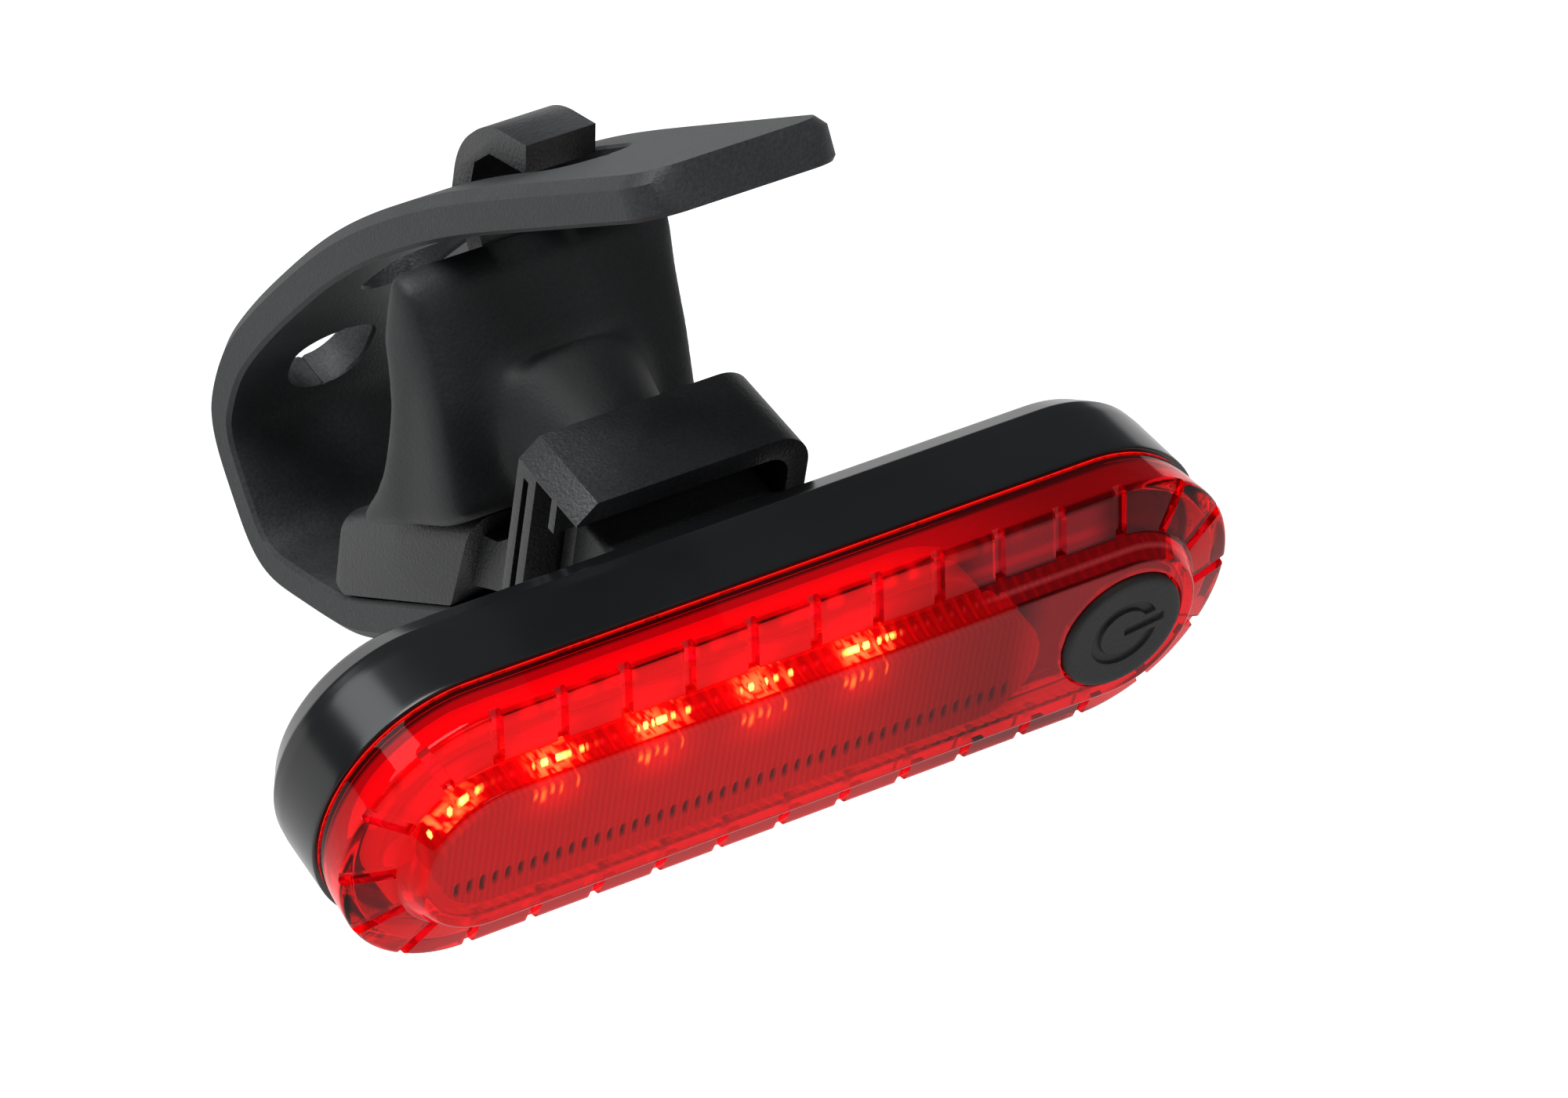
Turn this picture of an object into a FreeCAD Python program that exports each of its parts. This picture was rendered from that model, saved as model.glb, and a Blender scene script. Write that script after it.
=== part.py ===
import FreeCAD, Part
import math
import os
import Sketcher

# Rechargeable rear bike light on a rubber strap mount.
# X runs along the light and along the tube that it is strapped to, -Y is the way the lens faces,
# +Z is up, and the origin lies on the tube's axis. Lengths are in millimetres.
# Depths below are measured from the parting line between lens and housing: the sheet's words
# "front" and "back" mean towards the lens and towards the tube.

DIMENSIONS = [
    ("tube_to_light", 46.0, "from the tube's axis to the parting line"),
    ("half_run", 25.0, "half the distance between the centres of the round ends"),
    ("shell_r", 10.75, "end radius of the housing at the parting line"),
    ("lens_foot_step", 0.35, "step from the housing in to the lens at the parting line"),
    ("shell_taper", 0.45, "how far the housing narrows towards its back"),
    ("shell_depth", 8.05, "depth of the housing"),
    ("shell_round", 2.2, "rounding of the back edge of the housing"),
    ("shell_floor", 1.4, "thickness of the housing's back wall"),
    ("seat_wall", 1.65, "wall of the housing outside the seat for the lens skirt and seal"),
    ("seat_depth", 1.65, "depth of that seat"),
    ("seat_ledge", 0.8, "width of the ledge under the seal"),
    ("fit_gap", 0.1, "clearance between parts that are put together once"),
    ("slide_gap", 0.2, "clearance between parts that slide"),
    ("soft_gap", 0.3, "clearance beside soft parts that move"),
    ("lens_flare", 0.4, "how far the lens side leans out towards its front edge"),
    ("lens_side", 3.75, "depth of the lens side wall"),
    ("ring_rise", 0.95, "height that the notched ring rises inwards"),
    ("raise_r", 7.15, "end radius at the foot of the raised middle"),
    ("face_r", 6.1, "end radius of the raised front face"),
    ("face_rise", 1.8, "height of the raised middle above the ring"),
    ("lens_wall", 1.3, "wall thickness of the lens"),
    ("lens_round", 0.5, "rounding of the lens edges"),
    ("skirt_depth", 1.0, "depth that the lens skirt reaches into the housing"),
    ("skirt_wall", 0.7, "thickness of the lens skirt"),
    ("notch_width", 0.9, "width of a notch in the ring"),
    ("notch_depth", 0.5, "depth of a notch in the ring"),
    ("seal_depth", 0.5, "depth of the seal"),
    ("button_r", 4.85, "radius of the button"),
    ("button_proud", 0.4, "height of the button above the lens face"),
    ("button_top", 1.3, "thickness of the button's top"),
    ("button_wall", 1.1, "thickness of the button's wall"),
    ("button_flange_r", 6.0, "radius of the flange that keeps the button in"),
    ("button_flange", 0.8, "thickness of that flange"),
    ("button_post_r", 1.5, "radius of the post under the button"),
    ("button_round", 0.5, "rounding of the button's top edge"),
    ("button_travel", 0.5, "travel of the button"),
    ("board_gap", 0.3, "gap round the circuit board"),
    ("board_face", 0.2, "front face of the board, behind the parting line"),
    ("board_thick", 1.0, "thickness of the board"),
    ("led_beyond", 0.3, "first LED, beyond the centre of the left round end"),
    ("led_pitch", 8.2, "distance between LEDs"),
    ("led_count", 5, "number of LEDs"),
    ("led_long", 3.5, "length of an LED"),
    ("led_wide", 2.8, "width of an LED"),
    ("led_tall", 0.7, "height of an LED's body"),
    ("led_window_r", 1.1, "radius of an LED's window"),
    ("tray_gap", 0.7, "gap round the reflector tray"),
    ("tray_short", 16.0, "tray's right end centre, short of the button's centre"),
    ("tray_well_r", 2.6, "radius of a well in the tray"),
    ("optic_r", 4.6, "end radius of the optic strip"),
    ("optic_gap", 0.5, "gap between the optic strip and the button's flange"),
    ("optic_tall", 2.3, "height of the optic strip"),
    ("switch_side", 4.6, "side of the switch"),
    ("switch_tall", 1.5, "height of the switch"),
    ("plunger_r", 1.0, "radius of the switch plunger"),
    ("plunger_seat", 0.15, "depth that the plunger reaches into the switch at rest"),
    ("cell_long", 32.0, "length of the battery cell"),
    ("cell_wide", 14.0, "width of the battery cell"),
    ("cell_thick", 4.2, "thickness of the battery cell"),
    ("cell_beyond", 3.5, "left end of the cell, beyond the centre of the left round end"),
    ("cell_round", 1.0, "rounding of the battery cell"),
    ("tab_thick", 0.2, "thickness of a battery tab"),
    ("tab_wide", 2.4, "width of a battery tab"),
    ("tab_long", 3.0, "length of a battery tab on the board"),
    ("tab_apart", 8.0, "distance between the battery tabs"),
    ("boss_r", 1.7, "radius of a screw boss"),
    ("boss_beyond", 5.6, "left boss, beyond the centre of the left round end"),
    ("boss_short", 4.5, "right boss, short of the button's centre"),
    ("boss_right_up", 5.5, "height of the right boss above the middle"),
    ("chip_short", 3.5, "driver chip's left side, short of the button's centre"),
    ("chip_side", 4.0, "side of the driver chip"),
    ("chip_tall", 1.0, "height of the driver chip"),
    ("part_short", 1.0, "first small part on the board, short of the button's centre"),
    ("part_up", 3.6, "row of small parts, above or below the middle"),
    ("part_pitch", 2.2, "distance between small parts"),
    ("part_long", 1.6, "length of a small part"),
    ("part_wide", 1.0, "width of a small part"),
    ("part_tall", 0.7, "height of a small part"),
    ("screw_r", 0.7, "radius of a board screw"),
    ("screw_long", 4.0, "length of a board screw under its head"),
    ("screw_head_r", 1.3, "radius of a screw head"),
    ("screw_head", 0.8, "height of a screw head"),
    ("socket_at", 14.0, "place of the charging socket along the light"),
    ("socket_wide", 7.5, "width of the socket"),
    ("socket_thick", 2.7, "thickness of the socket"),
    ("socket_deep", 5.5, "depth of the socket"),
    ("socket_wall", 0.35, "wall of the socket"),
    ("tongue_wide", 3.8, "width of the socket's tongue"),
    ("tongue_thick", 0.6, "thickness of the socket's tongue"),
    ("tongue_long", 3.7, "length of the socket's tongue"),
    ("flap_left", 7.0, "place of the flap's hinge along the light"),
    ("flap_right", 20.3, "right end of the flap"),
    ("flap_thick", 0.85, "thickness of the flap"),
    ("flap_wide", 3.5, "width of the flap"),
    ("flap_inset", 0.35, "depth of the flap's outer face below the housing's widest line"),
    ("plug_wide", 6.9, "width of the flap's plug"),
    ("plug_thick", 1.4, "thickness of the flap's plug"),
    ("plug_deep", 1.0, "depth of the flap's plug"),
    ("rail_left", -6.8, "left end of the rail"),
    ("rail_right", 8.2, "right end of the rail's foot"),
    ("foot_half", 6.2, "half the height of the rail's foot"),
    ("foot_gap", 0.4, "gap between the rail's foot and the dock"),
    ("rail_half", 5.8, "half the height of the rail's web"),
    ("rail_root", 0.5, "depth that the rail is rooted in the housing's back"),
    ("rail_head_half", 8.6, "half the height of the rail's head"),
    ("rail_head", 1.6, "thickness of the rail's head"),
    ("dock_left", -9.5, "left end of the dock"),
    ("dock_right", 9.4, "right end of the dock"),
    ("dock_half", 10.5, "half the height of the dock"),
    ("dock_front", 10.9, "front of the dock, behind the parting line"),
    ("dock_rim", 2.5, "depth of the dock's front rim"),
    ("dock_band", 1.7, "height of the dock's front rim"),
    ("dock_lip", 0.7, "thickness of the lip that holds the rail"),
    ("lip_gap", 0.35, "gap between the rail's web and the lips"),
    ("dock_inner_round", 1.8, "rounding of the dock's inner corners and of the rail's"),
    ("dock_wall", 0.85, "thickness of the dock's inner and outer back walls"),
    ("dock_slit", 0.6, "slit between those walls"),
    ("dock_slit_half", 7.9, "half the height of the slit"),
    ("dock_stop", 1.6, "thickness of the dock's right wall"),
    ("dock_round", 3.0, "rounding of the dock's right corners"),
    ("dock_bevel", 1.5, "bevel of the dock's left corners"),
    ("neck_half", 6.5, "half the width of the neck behind the dock"),
    ("block_half", 8.0, "half the width of the lower block"),
    ("block_round", 0.8, "rounding of the lower block"),
    ("block_side_round", 1.6, "rounding beside the block's top"),
    ("hook_half", 2.8, "half the width of the hook"),
    ("hook_round", 7.0, "rounding of the hook's outer corners"),
    ("pad_half", 11.0, "half the width of the saddle pad"),
    ("pad_top", 13.8, "top of the saddle pad"),
    ("pad_mid", 32.5, "hollow of the pad, behind the parting line"),
    ("pad_back", 34.6, "flat back of the pad, behind the parting line"),
    ("pad_hollow_r", 17.0, "radius of the pad's hollow face"),
    ("pad_hollow_drop", 0.5, "drop of the hollow's centre below the middle"),
    ("pad_flange", 2.8, "thickness of the pad's flange"),
    ("pad_step", 0.35, "step between the pad's flange and its body"),
    ("pad_round", 1.6, "rounding of the pad's front edge"),
    ("pad_body_round", 1.1, "rounding of the pad's body"),
    ("bump_r", 4.6, "radius of the pad's boss at the dock"),
    ("bump_foot_r", 6.6, "radius of the pad's boss at the pad"),
    ("bump_up", 3.4, "height of the pad's boss above the middle"),
    ("bump_end", 27.0, "end of the boss inside the pad, behind the parting line"),
    ("strap_half", 8.0, "half the width of the strap"),
    ("strap_thick", 3.2, "thickness of the strap"),
    ("strap_bevel", 0.8, "bevel along the outer edges of the strap"),
    ("slot_half", 3.25, "half the width of a strap slot"),
    ("first_slot", 18.6, "from the tab's end to the slot on the hook"),
    ("first_slot_long", 21.7, "length of the slot on the hook"),
    ("slot_bridge", 3.6, "strap left between two slots"),
    ("second_slot_long", 13.0, "length of the second slot"),
    ("third_slot", 4.8, "from the bend to the slot in the strap's root"),
    ("third_slot_long", 8.0, "length of that slot"),
    ("stud_r", 2.0, "radius of the stud that holds the strap's root"),
    ("stud_head_r", 3.2, "radius of the stud's head"),
    ("stud_head", 1.0, "thickness of the stud's head"),
]

doc = FreeCAD.newDocument("bike_light")
sheet = doc.addObject("Spreadsheet::Sheet", "Dims")


class Size:
    """A length that knows its place in the sheet: its text binds properties, its number draws."""

    def __init__(self, text, number):
        self.text = text
        self.number = number

    def join(self, sign, other, number):
        return Size("(%s %s %s)" % (self.text, sign, size(other).text), number)

    def __add__(self, other):
        return self.join("+", other, self.number + size(other).number)

    def __sub__(self, other):
        return self.join("-", other, self.number - size(other).number)

    def __mul__(self, other):
        return self.join("*", other, self.number * size(other).number)

    def __truediv__(self, other):
        return self.join("/", other, self.number / size(other).number)

    def __neg__(self):
        return Size("(0 - %s)" % self.text, -self.number)

    def __radd__(self, other):
        return size(other) + self

    def __rsub__(self, other):
        return size(other) - self


def size(value):
    if isinstance(value, Size):
        return value
    return Size(repr(float(value)), float(value))


class Sizes:
    """One attribute for each row of the sheet."""


d = Sizes()
for row, (name, value, meaning) in enumerate(DIMENSIONS, start=1):
    sheet.set("A%d" % row, meaning)
    sheet.set("B%d" % row, str(value))
    sheet.setAlias("B%d" % row, name)
    setattr(d, name, Size("Dims." + name, float(value)))
doc.recompute()

NODES = {}


def bind(thing, name, value):
    thing.setExpression(name, size(value).text)


def keep(name, thing):
    """Name a finished sub-part and move it from the light's own place to the tube's frame."""
    if thing.TypeId in ("Part::Box", "Part::Cylinder"):
        thing = group(name.title().replace("_", ""), [thing])
    thing.Label = name
    bind(thing, "Placement.Base.y", -d.tube_to_light)
    NODES[name] = thing


# Sketches, pads and cuts

def new_body(name):
    return doc.addObject("PartDesign::Body", name)


def new_sketch(body, role, offset):
    """A sketch on one of the body's own planes, moved along that plane's normal."""
    sketch = body.newObject("Sketcher::SketchObject", body.Name + "Sketch")
    plane = [item for item in body.Origin.OriginFeatures if item.Role == role][0]
    sketch.AttachmentSupport = [(plane, "")]
    sketch.MapMode = "FlatFace"
    bind(sketch, "AttachmentOffset.Base.z", offset)
    return sketch


def hold(sketch, kind, geometry, point, value):
    """Fix a point's distance from the sketch's origin to a size."""
    rule = Sketcher.Constraint(kind, -1, 1, geometry, point, size(value).number)
    index = sketch.addConstraint(rule)
    sketch.setExpression("Constraints[%d]" % index, size(value).text)


def hold_radius(sketch, geometry, value):
    index = sketch.addConstraint(Sketcher.Constraint("Radius", geometry, size(value).number))
    sketch.setExpression("Constraints[%d]" % index, size(value).text)


def add_polygon(sketch, points):
    points = [(size(a), size(b)) for a, b in points]
    first = sketch.GeometryCount
    count = len(points)
    vectors = [FreeCAD.Vector(a.number, b.number, 0) for a, b in points]
    for i in range(count):
        sketch.addGeometry(Part.LineSegment(vectors[i], vectors[(i + 1) % count]))
    for i in range(count):
        following = first + (i + 1) % count
        sketch.addConstraint(Sketcher.Constraint("Coincident", first + i, 2, following, 1))
        hold(sketch, "DistanceX", first + i, 1, points[i][0])
        hold(sketch, "DistanceY", first + i, 1, points[i][1])
    return sketch


def add_rectangle(sketch, low_a, high_a, low_b, high_b):
    return add_polygon(sketch, [(low_a, low_b), (high_a, low_b), (high_a, high_b), (low_a, high_b)])


def add_circle(sketch, across, up, radius):
    centre = FreeCAD.Vector(size(across).number, size(up).number, 0)
    index = sketch.addGeometry(Part.Circle(centre, FreeCAD.Vector(0, 0, 1), size(radius).number))
    hold(sketch, "DistanceX", index, 3, across)
    hold(sketch, "DistanceY", index, 3, up)
    hold_radius(sketch, index, radius)
    return sketch


def add_stadium(sketch, radius, left, right):
    """Two half circles about (left, 0) and (right, 0), joined by straight sides."""
    radius, left, right = size(radius), size(left), size(right)
    r, a, b = radius.number, left.number, right.number
    up = FreeCAD.Vector(0, 0, 1)
    first = sketch.GeometryCount
    half = math.pi / 2
    sketch.addGeometry(Part.ArcOfCircle(Part.Circle(FreeCAD.Vector(b, 0, 0), up, r), -half, half))
    sketch.addGeometry(Part.LineSegment(FreeCAD.Vector(b, r, 0), FreeCAD.Vector(a, r, 0)))
    sketch.addGeometry(Part.ArcOfCircle(Part.Circle(FreeCAD.Vector(a, 0, 0), up, r), half, 3 * half))
    sketch.addGeometry(Part.LineSegment(FreeCAD.Vector(a, -r, 0), FreeCAD.Vector(b, -r, 0)))
    for i in range(4):
        following = first + (i + 1) % 4
        sketch.addConstraint(Sketcher.Constraint("Coincident", first + i, 2, following, 1))
    for arc, place in ((first, right), (first + 2, left)):
        hold(sketch, "DistanceX", arc, 3, place)
        hold(sketch, "DistanceY", arc, 3, 0)
        hold_radius(sketch, arc, radius)
        sketch.addConstraint(Sketcher.Constraint("Vertical", arc, 1, arc, 3))
        sketch.addConstraint(Sketcher.Constraint("Vertical", arc, 2, arc, 3))
    return sketch


def pad(body, sketch, length, reverse=False, both=False):
    feature = body.newObject("PartDesign::Pad", body.Name + "Pad")
    feature.Profile = sketch
    feature.Reversed = reverse
    if both:
        feature.SideType = "Symmetric"
    bind(feature, "Length", length)
    doc.recompute()
    return feature


def pocket(body, sketch, length, reverse=False):
    """Cut a sketch out of the body, and check that something went."""
    before = body.Shape.Volume
    feature = body.newObject("PartDesign::Pocket", body.Name + "Pocket")
    feature.Profile = sketch
    feature.Reversed = reverse
    bind(feature, "Length", length)
    doc.recompute()
    if feature.Shape.Volume >= before - 1e-6:
        raise RuntimeError(body.Name + ": a pocket cut nothing")
    return feature


def loft(body, sketches, kind="PartDesign::AdditiveLoft"):
    feature = body.newObject(kind, body.Name + "Loft")
    feature.Profile = sketches[0]
    feature.Sections = sketches[1:]
    feature.Ruled = True
    doc.recompute()
    return feature


def edges_where(feature, test):
    return ["Edge%d" % (i + 1) for i, edge in enumerate(feature.Shape.Edges) if test(edge)]


def dress(body, kind, base, value, test):
    """Fillet or chamfer the edges of the last feature that pass a test."""
    feature = body.newObject(kind, body.Name + "Dress")
    feature.Base = (base, edges_where(base, test))
    bind(feature, "Radius" if kind.endswith("Fillet") else "Size", value)
    doc.recompute()
    return feature


def near(value, target, room=0.02):
    return abs(value - size(target).number) < room


def level(edge, depth):
    """Whether an edge lies at one place along Y."""
    return near(edge.BoundBox.YMin, depth) and near(edge.BoundBox.YMax, depth)


# Boxes and booleans, with low and high corners in the light's frame

def box(name, low, high):
    item = doc.addObject("Part::Box", name)
    for prop, axis, a, b in zip(("Length", "Width", "Height"), "xyz", low, high):
        bind(item, prop, size(b) - a)
        bind(item, "Placement.Base." + axis, a)
    return item


def facing_back():
    """Placement that turns a round solid's axis from Z to Y."""
    return FreeCAD.Placement(FreeCAD.Vector(), FreeCAD.Rotation(FreeCAD.Vector(1, 0, 0), -90))


def rod_along_y(name, radius, start, end, across, up):
    """A round bar along Y from one depth to another."""
    item = doc.addObject("Part::Cylinder", name)
    item.Placement = facing_back()
    bind(item, "Radius", radius)
    bind(item, "Height", size(end) - start)
    for axis, value in zip("xyz", (across, start, up)):
        bind(item, "Placement.Base." + axis, value)
    return item


def fuse(name, items):
    item = doc.addObject("Part::MultiFuse", name)
    item.Shapes = items
    doc.recompute()
    return item


def cut(name, base, tools):
    item = doc.addObject("Part::Cut", name)
    item.Base = base
    item.Tool = tools[0] if len(tools) == 1 else fuse(name + "Tools", tools)
    doc.recompute()
    return item


def group(name, items):
    item = doc.addObject("Part::Compound", name)
    item.Links = items
    doc.recompute()
    return item


seat_r = d.shell_r - d.seat_wall
cavity_r = seat_r - d.seat_ledge
shell_back_r = d.shell_r - d.shell_taper
lens_foot_r = d.shell_r - d.lens_foot_step
lens_r = lens_foot_r + d.lens_flare
board_r = cavity_r - d.board_gap
tray_r = cavity_r - d.tray_gap
tray_right = d.half_run - d.tray_short
optic_right = d.half_run - d.button_flange_r - d.optic_gap - d.optic_r
led_first = -d.half_run - d.led_beyond
cell_left = -d.half_run - d.cell_beyond
boss_left = -d.half_run - d.boss_beyond
boss_right = d.half_run - d.boss_short
board_back = d.board_face + d.board_thick
shell_inside = d.shell_depth - d.shell_floor
ring_top = d.lens_side + d.ring_rise
face_front = ring_top + d.face_rise
port_middle = board_back + d.socket_thick / 2
flap_outer = -d.shell_r + d.flap_inset
flap_inner = flap_outer + d.flap_thick
foot_back = d.dock_front - d.foot_gap
dock_open = d.dock_left - 1
dock_inner = d.dock_right - d.dock_stop
web_right = dock_inner - d.soft_gap
lip_front = d.dock_front + d.dock_rim
lip_back = lip_front + d.dock_lip
head_front = lip_back + d.slide_gap
cavity_back = head_front + d.rail_head + d.slide_gap
slit_front = cavity_back + d.dock_wall
dock_back = slit_front + d.dock_slit + d.dock_wall


# Housing: a black shell with a seat for the lens, two screw bosses, the charging port and the rail
def housing_shell():
    body = new_body("Housing")
    rings = [(d.shell_r, size(0))]
    for step in range(6):
        angle = math.pi / 2 * step / 5
        rings.append((shell_back_r - d.shell_round * (1 - math.cos(angle)),
                      d.shell_round * (1 - math.sin(angle)) - d.shell_depth))
    sections = [add_stadium(new_sketch(body, "XZ_Plane", offset), radius, -d.half_run, d.half_run)
                for radius, offset in rings]
    loft(body, sections)
    root = d.shell_depth - d.rail_root
    rail_block(body, root, foot_back, d.rail_right, d.foot_half)
    rail_block(body, root, head_front, web_right, d.rail_half)
    rail_block(body, head_front, head_front + d.rail_head, web_right, d.rail_head_half)
    seat = add_stadium(new_sketch(body, "XZ_Plane", 0), seat_r, -d.half_run, d.half_run)
    pocket(body, seat, d.seat_depth)
    inside = add_stadium(new_sketch(body, "XZ_Plane", 0), cavity_r, -d.half_run, d.half_run)
    pocket(body, inside, shell_inside)
    bosses = new_sketch(body, "XZ_Plane", -shell_inside - 0.2)
    add_circle(bosses, boss_left, 0, d.boss_r)
    add_circle(bosses, boss_right, d.boss_right_up, d.boss_r)
    pad(body, bosses, shell_inside + 0.2 - board_back)
    bores = new_sketch(body, "XZ_Plane", -board_back)
    add_circle(bores, boss_left, 0, d.screw_r + 0.05)
    add_circle(bores, boss_right, d.boss_right_up, d.screw_r + 0.05)
    pocket(body, bores, d.screw_long - d.board_thick + 0.3)
    half_flap = d.flap_wide / 2 + d.slide_gap
    recess = box("PortRecess",
                 (d.flap_left - d.flap_thick / 2 - d.slide_gap, port_middle - half_flap,
                  -d.shell_r - 1),
                 (d.flap_right + d.slide_gap, port_middle + half_flap, flap_inner + d.fit_gap))
    mouth = box("PortMouth",
                (d.socket_at - d.plug_wide / 2 - 0.4, port_middle - d.plug_thick / 2 - 0.35,
                 -d.shell_r - 1),
                (d.socket_at + d.plug_wide / 2 + 0.5, port_middle + d.plug_thick / 2 + 0.35,
                 -cavity_r + 0.4))
    keep("housing_shell", cut("HousingShell", body, [recess, mouth]))


def rail_block(body, front, back, right, half):
    """One step of the rail, with its right corners rounded like the dock's."""
    outline = add_rectangle(new_sketch(body, "XZ_Plane", -back), d.rail_left, right, -half, half)
    solid = pad(body, outline, back - front)
    rounded = dress(body, "PartDesign::Fillet", solid, d.dock_inner_round,
                    lambda edge: near(edge.BoundBox.XMin, right) and near(edge.BoundBox.XMax, right)
                    and edge.BoundBox.ZLength < 0.01)
    body.Tip = rounded


# Lens: a red shell whose ring has a notch at every station, with a raised middle and a button hole
def lens_cover():
    body = new_body("Lens")
    rings = ((lens_foot_r, 0), (lens_r, d.lens_side), (d.raise_r, ring_top), (d.face_r, face_front))
    sections = [add_stadium(new_sketch(body, "XZ_Plane", offset), radius, -d.half_run, d.half_run)
                for radius, offset in rings]
    solid = loft(body, sections)
    rounded = dress(body, "PartDesign::Fillet", solid, d.lens_round,
                    lambda edge: level(edge, -d.lens_side) or level(edge, -face_front))
    body.Tip = rounded
    skirt_r = seat_r - d.fit_gap
    hollow = ((skirt_r - d.skirt_wall, 0), (skirt_r, d.lens_wall), (skirt_r, d.lens_side - d.lens_wall),
              (d.raise_r - d.lens_wall, ring_top - d.lens_wall),
              (d.face_r - d.lens_wall * 0.85, face_front - d.lens_wall))
    sections = [add_stadium(new_sketch(body, "XZ_Plane", offset), radius, -d.half_run, d.half_run)
                for radius, offset in hollow]
    loft(body, sections, "PartDesign::SubtractiveLoft")
    skirt = new_sketch(body, "XZ_Plane", 0)
    add_stadium(skirt, skirt_r, -d.half_run, d.half_run)
    add_stadium(skirt, skirt_r - d.skirt_wall, -d.half_run, d.half_run)
    pad(body, skirt, d.skirt_depth, reverse=True)
    hole = new_sketch(body, "XZ_Plane", face_front + 0.1)
    add_circle(hole, d.half_run, 0, d.button_r + d.slide_gap)
    pocket(body, hole, face_front - d.lens_side + 0.1)
    keep("lens_cover", cut("LensCover", body, [notch(i) for i in range(32)]))


def notch(index):
    """One notch: 11 stations along each side, then 5 round each end."""
    item = doc.addObject("Part::Box", "Notch%d" % index)
    above = 1.5
    bind(item, "Length", d.notch_width)
    bind(item, "Width", above)
    bind(item, "Height", lens_r - d.raise_r + 1)
    side = 11
    if index < 2 * side:
        along = (index % side - 5) * d.half_run.number / 5
        turn = 0.0 if index < side else 180.0
    else:
        turn = 30.0 * (1 + (index - 2 * side) % 5)
        along = d.half_run.number
        if index >= 2 * side + 5:
            turn += 180.0
            along = -d.half_run.number
    slope = math.degrees(math.atan(d.ring_rise.number / (lens_r.number - d.raise_r.number)))
    vector = FreeCAD.Vector
    place = FreeCAD.Placement(vector(along, 0, 0), FreeCAD.Rotation(vector(0, 1, 0), turn))
    foot = FreeCAD.Placement(vector(0, d.notch_depth.number - ring_top.number, d.raise_r.number),
                             FreeCAD.Rotation(vector(1, 0, 0), -slope))
    corner = FreeCAD.Placement(vector(-d.notch_width.number / 2, -above, 0), FreeCAD.Rotation())
    item.Placement = place.multiply(foot).multiply(corner)
    return item


# Silicone ring between the skirt of the lens and the ledge in the housing
def lens_seal():
    body = new_body("Seal")
    ring = new_sketch(body, "XZ_Plane", -d.skirt_depth - 0.05)
    add_stadium(ring, seat_r - 0.05, -d.half_run, d.half_run)
    add_stadium(ring, cavity_r + 0.1, -d.half_run, d.half_run)
    pad(body, ring, d.seal_depth, reverse=True)
    keep("lens_seal", body)


# Clear strip with its round ends, standing on the reflector tray behind the raised face
def optic_strip():
    body = new_body("Optic")
    foot = face_front - d.lens_wall - d.fit_gap - d.optic_tall
    outline = add_stadium(new_sketch(body, "XZ_Plane", foot), d.optic_r, -d.half_run, optic_right)
    pad(body, outline, d.optic_tall)
    keep("optic_strip", body)


# White tray with one round well for each LED and a hole over the left screw
def led_reflector():
    body = new_body("Tray")
    back = -d.board_face + 0.05
    tall = face_front - d.lens_wall - d.fit_gap - d.optic_tall - back
    outline = add_stadium(new_sketch(body, "XZ_Plane", back), tray_r, -d.half_run, tray_right)
    pad(body, outline, tall)
    front = back + tall
    screw = add_circle(new_sketch(body, "XZ_Plane", front), boss_left, 0, d.screw_head_r + 0.3)
    pocket(body, screw, tall)
    well = add_circle(new_sketch(body, "XZ_Plane", front), led_first, 0, d.tray_well_r)
    first = pocket(body, well, tall)
    row = body.newObject("PartDesign::LinearPattern", "Wells")
    row.Originals = [first]
    row.Direction = (well, ["H_Axis"])
    bind(row, "Length", d.led_pitch * (d.led_count - 1))
    bind(row, "Occurrences", d.led_count)
    body.Tip = row
    doc.recompute()
    keep("led_reflector", body)


# Board with holes for its two screws
def circuit_board():
    body = new_body("Board")
    outline = add_stadium(new_sketch(body, "XZ_Plane", -board_back), board_r, -d.half_run, d.half_run)
    pad(body, outline, d.board_thick)
    holes = new_sketch(body, "XZ_Plane", -d.board_face)
    add_circle(holes, boss_left, 0, d.screw_r + d.fit_gap)
    add_circle(holes, boss_right, d.boss_right_up, d.screw_r + d.fit_gap)
    pocket(body, holes, d.board_thick)
    keep("circuit_board", body)


# Five LEDs, each a square body with a round window
def led_chips():
    chips = []
    for i in range(int(d.led_count.number)):
        middle = led_first + d.led_pitch * i
        body = box("LedBody%d" % i,
                   (middle - d.led_long / 2, d.board_face - d.led_tall, -d.led_wide / 2),
                   (middle + d.led_long / 2, d.board_face, d.led_wide / 2))
        window = rod_along_y("LedWindow%d" % i, d.led_window_r, d.board_face - d.led_tall - 0.15,
                             d.board_face - d.led_tall / 2, middle, 0)
        chips.append(fuse("Led%d" % i, [body, window]))
    keep("led_chips", group("LedChips", chips))


# Driver chip and small parts on the back of the board, right of the charging socket
def board_electronics():
    left = d.half_run - d.chip_short
    half = d.chip_side / 2
    chip = box("DriverChip", (left, board_back, -half),
               (left + d.chip_side, board_back + d.chip_tall, half))
    keep("driver_chip", chip)
    parts = []
    for i in range(3):
        for side in (-1, 1):
            low = d.part_up * side - d.part_wide / 2
            at = d.half_run - d.part_short + d.part_pitch * i
            parts.append(box("BoardPart%d" % len(parts), (at, board_back, low),
                             (at + d.part_long, board_back + d.part_tall, low + d.part_wide)))
    keep("board_parts", group("BoardParts", parts))


# Two self-tapping screws through the board into the bosses
def board_screws():
    screws = []
    for name, across, up in (("Left", boss_left, 0), ("Right", boss_right, d.boss_right_up)):
        head = rod_along_y("Head" + name, d.screw_head_r, d.board_face - d.screw_head,
                           d.board_face, across, up)
        shank = rod_along_y("Shank" + name, d.screw_r, d.board_face - d.screw_head / 2,
                            d.board_face + d.screw_long, across, up)
        screws.append(fuse("Screw" + name, [head, shank]))
    keep("board_screws", group("BoardScrews", screws))


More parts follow.
